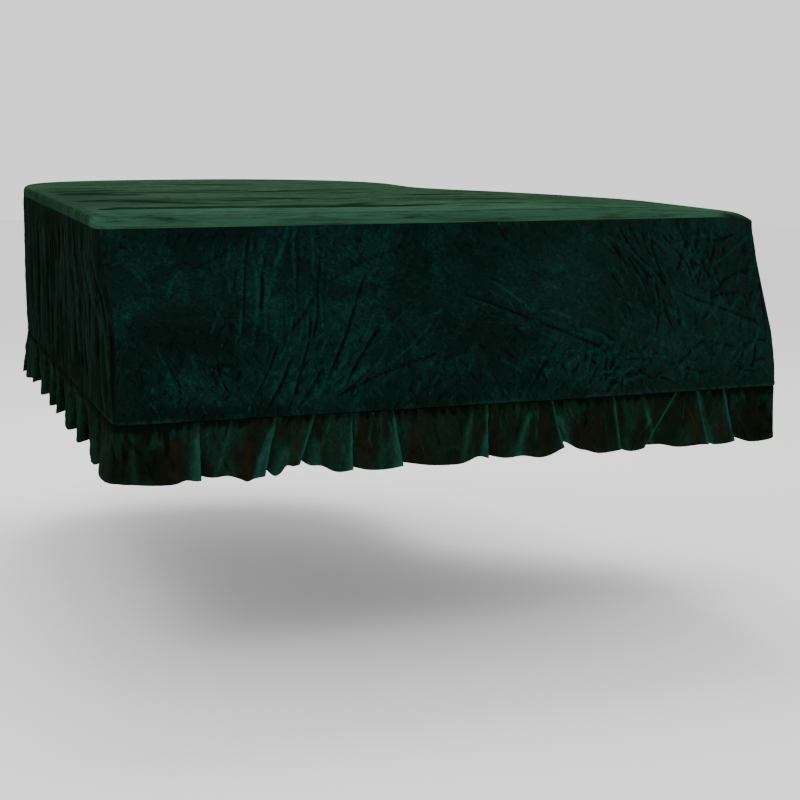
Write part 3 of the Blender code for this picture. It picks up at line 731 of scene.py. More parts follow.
# Bands of the front strip: place at the seam, place at the hem, half width, where it begins as a
# share of the drop, and tone: above 0 a painted sheen, below 0 a painted brown glow where the pile
# is thin and light comes through. Each widens from the first to the second of two shares of its
# width on its way down.
FRONT_BANDS = (
    (0.030, 0.034, 0.010, 0.15, 0.3),
    (0.115, 0.108, 0.022, 0.30, -1.0),
    (0.166, 0.152, 0.014, 0.25, 1.0),
    (0.236, 0.198, 0.006, 0.00, 0.7),
    (0.275, 0.262, 0.018, 0.10, -1.0),
    (0.325, 0.280, 0.013, 0.20, 1.0),
    (0.372, 0.332, 0.020, 0.55, 0.8),
    (0.385, 0.352, 0.012, 0.10, -0.8),
    (0.409, 0.380, 0.007, 0.00, 1.0),
    (0.422, 0.412, 0.014, 0.50, 0.7),
    (0.455, 0.455, 0.010, 0.30, -0.5),
    (0.484, 0.482, 0.010, 0.50, 0.9),
    (0.512, 0.514, 0.018, 0.10, -0.9),
    (0.556, 0.556, 0.010, 0.00, 0.4),
    (0.585, 0.592, 0.014, 0.15, 1.0),
    (0.635, 0.632, 0.026, 0.20, -0.9),
    (0.765, 0.738, 0.012, 0.10, 0.7),
    (0.798, 0.784, 0.010, 0.55, 0.9),
    (0.818, 0.818, 0.012, 0.00, -0.8),
    (0.905, 0.868, 0.014, 0.20, 0.8),
    (0.932, 0.930, 0.012, 0.10, -0.8),
    (0.962, 0.990, 0.016, 0.30, 1.0),
    (1.010, 1.022, 0.020, 0.30, -0.8),
    (1.080, 1.045, 0.020, 0.30, -0.5),
    (1.108, 1.122, 0.008, 0.10, 1.0),
    (1.178, 1.206, 0.009, 0.10, 0.8),
    (1.268, 1.184, 0.011, 0.00, 1.0),
    (1.300, 1.312, 0.020, 0.35, -1.0),
    (1.318, 1.358, 0.012, 0.00, 1.0),
    (1.365, 1.386, 0.013, 0.45, -0.8),
    (1.385, 1.414, 0.009, 0.00, 1.0),
    (1.460, 1.470, 0.045, 0.10, -0.4),
    (1.532, 1.534, 0.008, 0.00, 0.8),
)
BAND_WIDTH = (0.36, 0.80)
# Strength of the painted highlight along each pleat's fold, by side.
FOLD_SHINE = {"front": 1.0, "bentside": 0.4, "tail": 0.4, "bass": 0.3}
FLOUNCE_SHADE = {"front": 0.0, "bentside": 0.30, "tail": 0.30, "bass": 0.40}
# Where the front strip lies in the shade of a corner: place, half width and strength.
FRONT_SHADES = (
    (0.060, 0.090, 0.60),
    (0.225, 0.030, 0.25),
    (0.700, 0.040, 0.25),
    (1.060, 0.040, 0.20),
    (1.480, 0.080, 0.55),
)
# Where the front strip's hem is caught up: place, half width and rise.
FRONT_HEM_RISES = (
    (0.135, 0.015, 0.006),
    (0.222, 0.024, 0.010),
    (0.262, 0.010, -0.005),
    (0.346, 0.012, 0.016),
    (0.372, 0.026, 0.018),
    (0.420, 0.024, 0.017),
    (0.772, 0.024, 0.012),
    (0.880, 0.028, 0.008),
    (0.985, 0.038, 0.017),
    (1.035, 0.020, 0.006),
    (1.225, 0.028, 0.007),
    (1.350, 0.020, -0.004),
)
HIDDEN_PLEAT_PITCH = 0.165
PLEAT_RETURN = 0.007
PLEAT_TUCK = 0.004
FOLD_EDGE = 0.007
PLEAT_ROOT_SHARE = 0.05
PLEAT_SET_BACK = {"front": 0.45, "bentside": 0.5, "tail": 0.5, "bass": 0.75}
PLEAT_HEM_DIP = 0.006
FLOUNCE_FLARE = 0.004
FLOUNCE_INSET = 0.0008
FLOUNCE_SPACING = 0.0042
HEM_WIDTH = 0.011
SEAM_TUCK = 0.007
SEAM_TUCK_DEPTH = 0.0030
# A pleat face's profile, and the share of it over which what lies behind its start fades.
FACE_ROUNDNESS = 1.2
LAST_FACE_RISE = 0.35
DEPTH_FADES = 0.3
LIFT_FADES = 0.4
# The turns of the rounded fold at a face's edge, in degrees, and how far it bulges.
FOLD_TURNS = (25, 55, 90, 125, 155)
FOLD_BULGE = 0.0034
CORNER_FADES = 0.035


def hidden_pleats(side):
    """Uneven pleats for the sides that curve: the same rows as the pleat tables."""
    start, end = JOINS[side]
    count = round((end - start) / HIDDEN_PLEAT_PITCH)
    rows = []
    for number in range(1, count):
        edge = (number + 0.22 * math.sin(5.1 * number)) * (end - start) / count
        lean = 0.012 * math.sin(2.3 * number + 1.0)
        rows.append((edge, edge + lean, 0.027 + 0.004 * math.sin(3.7 * number), 0.006))
    return tuple(rows)


def pleat_face(columns, last, seam_edge, hem_edge, depth, set_back, lift_behind, closes=False):
    """Adds the columns of one face, from the recess before it to its fold or to the strip's end."""
    width = max(hem_edge - last[1], seam_edge - last[0])
    for share in np.linspace(0, 1, max(6, round(width / FLOUNCE_SPACING)) + 1):
        if closes:
            rise = LAST_FACE_RISE * depth * math.sin(share * math.pi)
            rise += -depth * set_back * (1 - float(smooth_step(share / DEPTH_FADES)))
        else:
            rise = depth * (math.sin(share * math.pi / 2) ** FACE_ROUNDNESS - set_back)
        lift = lift_behind * (1 - float(smooth_step(share / LIFT_FADES)))
        columns.append((
            last[0] + (seam_edge - last[0]) * share,
            last[1] + (hem_edge - last[1]) * share,
            rise,
            lift - PLEAT_HEM_DIP * math.sin(share * math.pi),
            float(smooth_step((0.55 - share) / 0.5)),
            float(smooth_step(1 - (1 - share) * width / FOLD_EDGE)) * (0.0 if closes else 1.0),
        ))


def pleat_columns(pleats, length, set_back):
    """Columns of a strip: seam place, hem place, how far out, hem lift, recess and fold of each."""
    columns = []
    last = (SEAM_GAP / 2, SEAM_GAP / 2)
    lift_behind = 0.0
    for seam_edge, hem_edge, depth, lift in pleats:
        pleat_face(columns, last, seam_edge, hem_edge, depth, set_back, lift_behind)
        for turn in np.radians(FOLD_TURNS):
            columns.append((
                seam_edge + PLEAT_RETURN * 0.5 * (1 - math.cos(turn)),
                hem_edge + FOLD_BULGE * math.sin(turn) - 0.5 * PLEAT_TUCK * (1 - math.cos(turn)),
                depth * (0.5 + 0.5 * math.cos(turn) - set_back),
                lift * 0.5 * (1 - math.cos(turn)),
                0.5 - 0.5 * math.cos(turn),
                0.5 + 0.5 * math.cos(turn),
            ))
        last = (seam_edge + PLEAT_RETURN, hem_edge - PLEAT_TUCK)
        lift_behind = lift
    end = length - SEAM_GAP / 2
    pleat_face(columns, last, end, end, pleats[-1][2], set_back, lift_behind, closes=True)
    table = np.array(columns)
    table[:, 2] *= smooth_step(table[:, 1] / CORNER_FADES)
    return table


print("front pleats:", len(FRONT_PLEATS), "left pleats:", len(BASS_PLEATS))

# %% [markdown]
# The strip hangs from the panel's lower edge, gathered tight at the seam and open at the hem.
# Fine creases fan down from the gathers. The hem is the cloth turned up once, so its last
# centimetre stands a little proud.

# %% Flounces
FLOUNCE_SEEDS = {"front": 51, "bentside": 61, "tail": 71, "bass": 81}
GATHER_LENGTH = 0.045
GATHER_RISE = 0.0011
HEM_STEP = 0.0005
SEAM_SHADOW = 0.7
# How strongly a painted brown glow, standing for light through the thin pile, fills each pleat's
# recess.
BROWN_SHARE = 0.45


def flounce_rows():
    """Rows down the strip, with two close ones where the turned hem begins."""
    hem_starts = FLOUNCE_DROP - HEM_WIDTH
    upper = np.linspace(0.003, hem_starts - 0.001, round(hem_starts / FLOUNCE_SPACING))
    lower = np.linspace(hem_starts + 0.004, FLOUNCE_DROP, 3)
    return np.concatenate(([-SEAM_TUCK, -0.001, 0.0005], upper, [hem_starts + 0.001], lower))


def flounce_creases(seed, length):
    """Small creases of a strip: a fan down from the gathers and a few across the faces."""
    regions = (
        (length / 2, 0.030, length / 2, 0.020, 90, 14, round(70 * length), 0.070, 0.0016, 0.0036),
        (length / 2, 0.070, length / 2, 0.040, 88, 22, round(60 * length), 0.080, 0.0016, 0.0042),
        (length / 2, 0.075, length / 2, 0.040, 60, 60, round(70 * length), 0.040, 0.0009, 0.0036),
    )
    return scatter_creases(seed, regions)


def front_bands(seam_place, hem_place, share):
    """The front strip's bands of painted sheen and of painted brown glow, on a grid."""
    sheen_bands = np.zeros((len(seam_place), len(share)))
    brown = np.zeros_like(sheen_bands)
    place = seam_place[:, None] * (1 - share) + hem_place[:, None] * share
    for at_seam, at_hem, half_width, begins, tone in FRONT_BANDS:
        middle = at_seam * (1 - share) + at_hem * share
        width = half_width * (BAND_WIDTH[0] + (BAND_WIDTH[1] - BAND_WIDTH[0]) * share)
        band = abs(tone) * np.exp(-((place - middle) / width) ** 2)
        band *= smooth_step((share - begins) / 0.2 + 0.5)
        if tone > 0:
            sheen_bands += band
        else:
            brown += band
    return np.clip(sheen_bands, 0, 1), np.clip(brown, 0, 1)


def flounce_places(start, table, drops, share):
    """Points of a strip without its fine creases, tight at the seam and open at the hem."""
    run = start + table[:, 0, None] * (1 - share) + table[:, 1, None] * share
    opened = PLEAT_ROOT_SHARE + (1 - PLEAT_ROOT_SHARE) * share ** 0.8
    below_seam = smooth_step((drops + 0.001) / 0.006)
    out = (table[:, 2, None] * opened + FLOUNCE_FLARE * share ** 1.5 - FLOUNCE_INSET) * below_seam
    out -= SEAM_TUCK_DEPTH * (1 - below_seam)
    outward = np.concatenate((edge_outward(run), np.zeros(run.shape + (1,))), axis=-1)
    places = hang(run, SKIRT_DROP) + outward * out[..., None]
    fall = drops - table[:, 3, None] * share ** 2 + SEAM_GAP
    places[..., 2] = CLOTH - EDGE_ROLL - SKIRT_DROP - fall
    return places


def flounce_relief(seed, along, drops):
    """Heights of a strip's fine creases and gathers, and of its turned hem."""
    length = along[-1]
    height = np.zeros((len(along), len(drops)))
    lay_creases(height, along, drops, flounce_creases(seed, length))
    lay_creases(height, along, drops,
                seam_puckers(seed + 1, 0.01, length - 0.01, 0.0, GATHER_LENGTH, GATHER_RISE))
    fades = smooth_step(np.minimum(along, length - along) / 0.012)[:, None]
    height *= fades * smooth_step(drops / 0.004)
    return height + HEM_STEP * smooth_step((drops - FLOUNCE_DROP + HEM_WIDTH) / 0.002)


def flounce_marks(side, table, drops, share, height):
    """The finish's marks on a strip: painted highlights on the folds and bands, a painted brown glow in
    the recesses, and painted shade.
    """
    lower = smooth_step(drops / 0.03)
    fold = FOLD_SHINE[side] * table[:, 5, None] * (0.5 + 0.5 * lower)
    sheen_bands, brown = 0.0, BROWN_SHARE * table[:, 4, None] * lower
    shadow = FLOUNCE_SHADE[side] + SEAM_SHADOW * (1 - smooth_step((drops - 0.004) / 0.022))
    if side == "front":
        sheen_bands, brown = front_bands(table[:, 0], table[:, 1], share)
        for place, half_width, strength in FRONT_SHADES:
            shadow = shadow + strength * np.exp(-((table[:, 1, None] - place) / half_width) ** 2)
    crest = 0.6 * crests(height, *FLOUNCE_CREST) + 0.8 * fold + 0.6 * sheen_bands - shadow
    return {
        "crest": np.clip(crest, -1, 1),
        "recess": np.clip(brown - fold - sheen_bands, 0, 1),
        "pale": np.clip(fold + sheen_bands - 0.3 * brown, -1, 1),
    }


def flounce(side, pleats):
    """One pleated strip. Gives the length that it was cut to."""
    start, end = JOINS[side]
    table = pleat_columns(pleats, end - start, PLEAT_SET_BACK[side])
    if side == "front":
        for place, half_width, rise in FRONT_HEM_RISES:
            table[:, 3] += rise * np.exp(-((table[:, 1] - place) / half_width) ** 2)
    drops = flounce_rows()
    share = np.clip(drops, 0, None) / FLOUNCE_DROP
    places = flounce_places(start, table, drops, share)
    step = np.linalg.norm(np.diff(places[:, -1], axis=0), axis=1)
    along = np.concatenate(([0.0], np.cumsum(step)))
    height = flounce_relief(FLOUNCE_SEEDS[side], along, drops)
    places = places + faces_out(places) * height[..., None]
    marks = flounce_marks(side, table, drops, share, height)
    grid_sheet(side + "_flounce_cloth", places, marks, along[:, None], SKIRT_DROP + drops)
    return along[-1]


PLEATS = {
    "front": FRONT_PLEATS,
    "bentside": hidden_pleats("bentside"),
    "tail": hidden_pleats("tail"),
    "bass": BASS_PLEATS,
}
STRIP_LENGTHS = {side: flounce(side, pleats) for side, pleats in PLEATS.items()}
print("pleated strips laid flat:", STRIP_LENGTHS)

# %% [markdown]
# The top is one panel of the outline's shape, which lies flat and rolls down to the seam at its
# edge. Long shallow folds run across it from left to right. Rings of points make the rolled
# edge, an even grid fills the inside, and a triangulation joins it to the innermost ring.

# %% Top
TOP_FOLDS = (
    (0.36, 0.24, 0.42, 0.045, 0.0040, 0.05),
    (0.55, 0.52, 0.50, 0.055, 0.0050, -0.04),
    (0.45, 0.90, 0.48, 0.060, 0.0040, 0.03),
    (1.12, 0.20, 0.40, 0.045, 0.0040, -0.06),
    (0.52, 1.28, 0.42, 0.060, 0.0040, 0.02),
    (1.02, 0.46, 0.36, 0.050, 0.0040, 0.05),
)
# Narrow troughs of the top: start, end, bow, depth and half width.
TOP_TROUGHS = (
    (-0.060, 0.600, 0.460, 0.300, 0.012, -0.0050, 0.020),
    (-0.060, 0.214, 0.560, 0.194, 0.008, -0.0050, 0.020),
    (0.300, 0.205, 0.940, 0.188, -0.010, -0.0038, 0.018),
    (0.820, 0.218, 1.140, 0.170, 0.004, -0.0022, 0.015),
    (0.980, 0.204, 1.460, 0.188, 0.004, -0.0036, 0.017),
    (0.820, 0.560, 1.180, 0.490, 0.006, -0.0028, 0.020),
    (-0.100, 0.850, 0.330, 0.750, 0.014, -0.0036, 0.026),
    (-0.100, 0.970, 0.270, 0.915, 0.014, -0.0030, 0.026),
    (0.240, 0.920, 0.600, 0.838, 0.008, -0.0020, 0.020),
    (0.640, 0.790, 0.930, 0.725, 0.006, -0.0026, 0.020),
    (0.010, 0.057, 0.240, 0.046, 0.002, -0.0022, 0.011),
    (1.060, 0.054, 1.380, 0.090, 0.003, -0.0018, 0.012),
)
TOP_SPACING = 0.0085
ROLL_TURNS = (90, 78, 68, 60, 54, 48, 42, 36, 30, 22, 12)
ROLL_SQUARENESS = 3.6
ROLL_ROUND_FROM = 1.15
ROLL_ROUND_AT = 1.50
ROLL_SQUARENESS_ROUND = 2.0
TOP_FINE_FOLDS = 90
TOP_FINE_SEED = 91
FINE_FOLDS_REACH = ((0.05, 1.45), (0.04, 1.55))
# How near to the flat part's edge each kind of fold fades out.
FOLDS_FADE = 0.08
FINE_FADE = 0.03
TROUGHS_FADE = 0.015
# The slope facing the front and the trough depth that get fully painted shade.
DARK_SLOPE = 0.15
DARK_DEPTH = 0.0090
# How far back from the front edge, and how strongly, the painted green sheen of the rolled edge reaches
# onto the top.
NEAR_FRONT = 0.45
EDGE_SHARE = 0.9


def top_folds(x, y):
    """Height of the long soft folds across the top."""
    rise = np.zeros(np.shape(x))
    for middle_x, middle_y, half_length, half_width, height, lean in TOP_FOLDS:
        along = (x - middle_x) / half_length
        across = (y - middle_y - lean * (x - middle_x)) / half_width
        rise = rise + height * np.exp(-along ** 4) * np.exp(-across ** 2)
    return rise


def top_fine_folds(x, y):
    """Smaller folds between the long ones, most of them from left to right."""
    chance = np.random.default_rng(TOP_FINE_SEED)
    rise = np.zeros(np.shape(x))
    for _ in range(TOP_FINE_FOLDS):
        middle_x, middle_y = (chance.uniform(*reach) for reach in FINE_FOLDS_REACH)
        lean = 0.16 * chance.normal()
        half_length, half_width = chance.uniform(0.08, 0.34), chance.uniform(0.007, 0.017)
        height = chance.uniform(0.0006, 0.0020) * chance.choice((-1, 1))
        along = (x - middle_x) / half_length
        across = (y - middle_y - lean * (x - middle_x)) / half_width
        rise = rise + height * np.exp(-2.0 * along ** 2) / (1 + across ** 2) ** 2
    return rise


def top_troughs(x, y):
    """Narrow troughs, which lie across the top like pressed lines."""
    sinks = np.zeros(np.shape(x))
    for x0, y0, x1, y1, bow, rise, half_width in TOP_TROUGHS:
        share = (x - x0) / (x1 - x0)
        middle = y0 + (y1 - y0) * share + bow * (1 - (2 * share - 1) ** 2)
        taper = smooth_step(share / 0.4) * smooth_step((1 - share) / 0.5)
        sinks = sinks + rise * taper / (1 + ((y - middle) / half_width) ** 2) ** 2
    return sinks


def top_slope(x, y, reach=0.004):
    """How steeply the top rises towards the back. A slope that faces the front gets painted shade."""
    def relief(at_y):
        return top_folds(x, at_y) + top_fine_folds(x, at_y) + top_troughs(x, at_y)
    return (relief(y + reach) - relief(y - reach)) / (2 * reach)


def treble_fall(x):
    """How far the top sinks towards the right, where it reaches past what carries it."""
    return TREBLE_FALL * np.clip((x - TAIL_WIDTH) / (TOP_WIDTH - TAIL_WIDTH), 0, 1) ** 1.5


def inside_points(ring, outward):
    """Grid points that lie inside a ring and not too near to it."""
    x, y = np.meshgrid(np.arange(0.0, TOP_WIDTH, TOP_SPACING), np.arange(0.0, TOP_LENGTH, TOP_SPACING))
    x = (x + 0.5 * TOP_SPACING * (np.arange(x.shape[0])[:, None] % 2)).ravel()
    y = y.ravel()
    kept = []
    for i in range(0, len(x), 4000):
        px, py = x[i:i + 4000, None], y[i:i + 4000, None]
        nearest = np.argmin((ring[:, 0] - px) ** 2 + (ring[:, 1] - py) ** 2, axis=1)
        to_ring = ring[nearest] - np.column_stack((px, py))
        kept.append((to_ring * outward[nearest]).sum(axis=1) > 0.55 * TOP_SPACING)
    kept = np.concatenate(kept)
    return np.stack([x[kept], y[kept]], axis=-1)


def roll_rings(flat_edge, outward):
    """Rings of points down the rolled edge, rounder at the right, and how far each has turned."""
    sinks = treble_fall(flat_edge[:, 0])
    rounder = smooth_step((flat_edge[:, 0] - ROLL_ROUND_FROM) / (ROLL_ROUND_AT - ROLL_ROUND_FROM))
    power = 2 / (ROLL_SQUARENESS + (ROLL_SQUARENESS_ROUND - ROLL_SQUARENESS) * rounder)
    rings = []
    turned = []
    for turn in np.radians(ROLL_TURNS):
        plan = flat_edge + outward * EDGE_ROLL * (math.sin(turn) ** power)[:, None]
        height = CLOTH - EDGE_ROLL + (EDGE_ROLL - sinks) * max(math.cos(turn), 0.0) ** power
        rings.append(np.column_stack((plan, height - shoulder_sag(plan[:, 0], plan[:, 1]))))
        turned.append(np.full(len(flat_edge), float(smooth_step((math.degrees(turn) - 20) / 30))))
    return np.concatenate(rings), np.concatenate(turned)


def distance_to(ring, flat):
    """Each point's distance to the nearest point of a ring, worked out in parts."""
    return np.concatenate([
        np.sqrt(np.min((ring[:, 0] - part[:, :1]) ** 2 + (ring[:, 1] - part[:, 1:]) ** 2, axis=1))
        for part in np.array_split(flat, 12)
    ])


def flat_height(x, y, from_edge):
    """Height of the flat part, its folds faded out towards its edge."""
    folds = top_folds(x, y) * smooth_step(from_edge / FOLDS_FADE)
    fine = top_fine_folds(x, y) * smooth_step(from_edge / FINE_FADE)
    troughs = top_troughs(x, y) * smooth_step(from_edge / TROUGHS_FADE)
    return CLOTH + folds + fine + troughs - (treble_fall(x) + shoulder_sag(x, y))


def top_marks(points, runs, turned, from_edge):
    """The finish's marks, with painted shade and painted sheen: the roll's points come first, in rings,
    and then the flat part's.
    """
    first_inside = len(turned)
    x, y = points[:, 0], points[:, 1]
    flat_x, flat_y = x[first_inside:], y[first_inside:]
    slope = top_slope(flat_x, flat_y) * smooth_step(from_edge / FINE_FADE)
    sunk = top_troughs(flat_x, flat_y) * smooth_step(from_edge / TROUGHS_FADE)
    # Painted shade on slopes that face the front and in the troughs, and a weaker painted highlight on
    # slopes that face the back.
    facing = np.clip(-slope / DARK_SLOPE + sunk / DARK_DEPTH, -1, 0.6)
    near_front = EDGE_SHARE * (1 - smooth_step(flat_y / NEAR_FRONT))
    # Painted shade at the right front corner, where the cloth sags into a shoulder; half as strong on
    # the flat part.
    shoulder = smooth_step((x - 1.42) / 0.09) * (1 - smooth_step((y - 0.02) / 0.10))
    shoulder[first_inside:] *= 0.5
    off_front = smooth_step((y - 0.03) / 0.10)
    off_front[first_inside:] = 0
    # Painted shade on the rolled edge away from the front, broken up by a ripple along it.
    puckers = np.sin(runs * 150.0 + 2.5 * np.sin(runs * 47.0)) * np.sin(runs * 61.0 + 1.0)
    roll_shade = np.tile(0.72 + 0.28 * puckers, len(ROLL_TURNS)) * turned
    crest = np.concatenate((-roll_shade * off_front[:first_inside], facing))
    crest = np.clip(crest - 1.2 * shoulder, -1, 1)
    darker = np.exp(-((x - 0.06) / 0.13) ** 2 - ((y - 0.75) / 0.45) ** 2)
    crest[first_inside:] = np.clip(crest[first_inside:] - 0.42 * darker[first_inside:], -1, 1)
    # Painted green sheen on the rolled edge and towards the front, kept off the shoulder and weaker
    # away from the front and in painted shade.
    on_roll = np.concatenate((turned, near_front)) * (1 - shoulder) * (1 - 0.6 * off_front)
    return {"crest": crest, "recess": on_roll * (1 + np.clip(crest, -1, 0)), "pale": -0.8 * darker}


def top_cloth():
    """The top panel with its rolled edge."""
    count = round(GIRTH / TOP_SPACING)
    runs = np.arange(count) * GIRTH / count
    outward = edge_outward(runs)
    flat_edge = edge_place(runs) - outward * EDGE_ROLL
    ring_points, turned = roll_rings(flat_edge, outward)
    inside = np.concatenate((flat_edge, inside_points(flat_edge, outward)))
    border = [(i, (i + 1) % count) for i in range(count)]
    found, _, faces, origins, _, _ = delaunay_2d_cdt([Vector(p) for p in inside], border, [], 1, 1e-6)
    flat = np.array([tuple(point) for point in found])
    from_edge = distance_to(flat_edge, flat)
    flat_points = np.column_stack((flat, flat_height(flat[:, 0], flat[:, 1], from_edge)))
    points = np.concatenate((ring_points, flat_points))
    first_inside = len(ring_points)
    on_border = {source: vertex for vertex, sources in enumerate(origins) for source in sources}
    levels = [list(range(k * count, (k + 1) * count)) for k in range(len(ROLL_TURNS))]
    levels.append([first_inside + on_border[i] for i in range(count)])
    all_faces = [[first_inside + v for v in face] for face in faces]
    for low, high in zip(levels, levels[1:]):
        all_faces += [[low[i], low[j], high[j], high[i]] for i, j in border]
    marks = top_marks(points, runs, turned, from_edge)
    lengths = points[:, :2].copy()
    points[:, 0] -= ORIGIN_FROM_BASS
    points[:, 1] -= ORIGIN_FROM_FRONT
    return make_sheet("top_cloth", points, np.array(all_faces, dtype=object), marks, lengths)


top_cloth()

# %% [markdown]
# Velvet is dark where one looks into its pile and pale where light skims the tips of the fibres.
# Crushing tips the pile over in patches, so the cloth looks mottled although its dye is even. A
# node group makes that mottling from distorted noise and thin ridged lines for the finest creases.
# From the crests and hollows that are stored on the mesh it paints highlights on the crests and
# shade in the hollows. Each finish then sets its own colours and the sheen on its shader.

# %% Crushed velvet group
STROKE_STRETCH = (4.0, 1.0, 1.0)
STROKE_TURNS = ((0.0, 0.95, 0.0), (0.2, -1.15, 0.0))


def add_node(tree, kind, **settings):
    """Adds a node and sets its properties."""
    node = tree.nodes.new(kind)
    for name, value in settings.items():
        setattr(node, name, value)
    return node


def feed(tree, node, **values):
    """Sets or links a node's inputs by name, with _ for a space."""
    for name, value in values.items():
        socket = node.inputs[name.replace("_", " ")]
        if isinstance(value, bpy.types.NodeSocket):
            tree.links.new(value, socket)
        else:
            socket.default_value = value
    return node


def noise(tree, where, scale, detail, roughness, distortion=0.0, kind="FBM"):
    """A noise texture, read at a place."""
    node = add_node(tree, "ShaderNodeTexNoise", noise_type=kind, normalize=True)
    feed(tree, node, Vector=where, Scale=scale, Detail=detail, Roughness=roughness,
         Distortion=distortion)
    return node.outputs["Fac"]


def drawn_out(tree, where, turn, stretch):
    """A place read so that a pattern is drawn out along a turned direction."""
    node = add_node(tree, "ShaderNodeMapping", vector_type="TEXTURE")
    return feed(tree, node, Vector=where, Rotation=turn, Scale=stretch).outputs["Vector"]


def between(tree, value, low, high):
    """A value's smooth rise from 0 to 1 between two limits."""
    node = add_node(tree, "ShaderNodeMapRange", interpolation_type="SMOOTHSTEP")
    return feed(tree, node, Value=value, From_Min=low, From_Max=high).outputs["Result"]


def maths(tree, operation, *values, clamp=False):
    """One sum of two or three values."""
    node = add_node(tree, "ShaderNodeMath", operation=operation, use_clamp=clamp)
    for socket, value in zip(node.inputs, values):
        if isinstance(value, bpy.types.NodeSocket):
            tree.links.new(value, socket)
        else:
            socket.default_value = value
    return node.outputs["Value"]


def blend_colours(tree, share, first, second):
    """A mix of two colours."""
    node = add_node(tree, "ShaderNodeMix", data_type="RGBA")
    for socket, value in ((node.inputs[0], share), (node.inputs[6], first), (node.inputs[7], second)):
        if isinstance(value, bpy.types.NodeSocket):
            tree.links.new(value, socket)
        else:
            socket.default_value = value
    return node.outputs[2]


def crushed_velvet_group():
    """Colour, roughness and height of crushed velvet, with painted highlights on crests and painted
    shade in hollows.
    """
    tree = bpy.data.node_groups.new("crushed velvet", "ShaderNodeTree")
    sockets = (
        ("Where", "INPUT", "NodeSocketVector"), ("Pile", "INPUT", "NodeSocketColor"),
        ("Brushed", "INPUT", "NodeSocketColor"), ("Hollow", "INPUT", "NodeSocketColor"),
        ("Crest", "INPUT", "NodeSocketFloat"), ("Pale", "INPUT", "NodeSocketFloat"),
        ("Patch Scale", "INPUT", "NodeSocketFloat"), ("Crushed", "INPUT", "NodeSocketFloat"),
        ("Color", "OUTPUT", "NodeSocketColor"),
        ("Roughness", "OUTPUT", "NodeSocketFloat"), ("Height", "OUTPUT", "NodeSocketFloat"),
    )
    for name, way, kind in sockets:
        tree.interface.new_socket(name=name, in_out=way, socket_type=kind)
    given = tree.nodes.new("NodeGroupInput").outputs
    result = tree.nodes.new("NodeGroupOutput")
    where, patch_scale, crushed = given["Where"], given["Patch Scale"], given["Crushed"]
    wisp_scale = maths(tree, "MULTIPLY", patch_scale, 5.0)
    stroke_scale = maths(tree, "MULTIPLY", patch_scale, 15.0)
    vein_scale = maths(tree, "MULTIPLY", patch_scale, 3.3)
    broad = noise(tree, where, patch_scale, 3.0, 0.55, 0.8)
    broad = maths(tree, "MULTIPLY_ADD", given["Pale"], 0.20, broad)
    patches = between(tree, broad, 0.42, 0.62)
    wisps = between(tree, noise(tree, where, wisp_scale, 7.0, 0.72, 2.0), 0.45, 0.62)
    rising, falling = (
        noise(tree, drawn_out(tree, where, turn, STROKE_STRETCH), stroke_scale, 3.0, 0.6, 0.5)
        for turn in STROKE_TURNS
    )
    strokes = between(tree, maths(tree, "MAXIMUM", rising, falling), 0.58, 0.68)
    gaps = between(tree, maths(tree, "MINIMUM", rising, falling), 0.43, 0.31)
    off_middle = maths(tree, "SUBTRACT", noise(tree, where, vein_scale, 2.0, 0.5, 1.0), 0.5)
    off_middle = maths(tree, "ABSOLUTE", off_middle)
    veins = maths(tree, "MULTIPLY", between(tree, off_middle, 0.022, 0.004), wisps)
    fibres = noise(tree, where, 620.0, 3.0, 0.7)
    # A crest gets a painted highlight and a hollow painted shade.
    crest_up = between(tree, given["Crest"], 0.12, 0.95)
    crest_down = between(tree, maths(tree, "MULTIPLY", given["Crest"], -1.0), 0.18, 0.90)
    crushing = maths(tree, "MULTIPLY", wisps, maths(tree, "MULTIPLY_ADD", patches, 0.26, 0.08))
    stroke_share = maths(tree, "MULTIPLY_ADD", patches, 0.32, 0.14)
    crushing = maths(tree, "MULTIPLY_ADD", strokes, stroke_share, crushing)
    crushing = maths(tree, "MULTIPLY_ADD", veins, 0.40, crushing)
    tipped = maths(tree, "MULTIPLY", patches, 0.16)
    tipped = maths(tree, "MULTIPLY_ADD", crushing, crushed, tipped)
    tipped = maths(tree, "MULTIPLY_ADD", given["Pale"], 0.26, tipped)
    tipped = maths(tree, "MULTIPLY_ADD", crest_up, 0.55, tipped)
    tipped = maths(tree, "MULTIPLY_ADD", fibres, 0.08, tipped, clamp=True)
    colour = blend_colours(tree, tipped, given["Pile"], given["Brushed"])
    # Both the dark gaps of the crushing and the painted shade of the hollows take the Hollow colour.
    deep = maths(tree, "MULTIPLY", maths(tree, "MULTIPLY", gaps, crushed), 0.75)
    deep = maths(tree, "MAXIMUM", deep, maths(tree, "MULTIPLY", crest_down, 0.85))
    colour = blend_colours(tree, deep, colour, given["Hollow"])
    height = maths(tree, "MULTIPLY_ADD", wisps, 0.40, maths(tree, "MULTIPLY", strokes, 0.25))
    height = maths(tree, "MULTIPLY_ADD", veins, 0.30, height)
    height = maths(tree, "MULTIPLY_ADD", fibres, 0.05, height)
    rough = maths(tree, "MULTIPLY_ADD", tipped, -0.22, 0.92)
    feed(tree, result, Color=colour, Roughness=rough, Height=height)
    return tree


VELVET = crushed_velvet_group()
print("velvet group nodes:", len(VELVET.nodes))
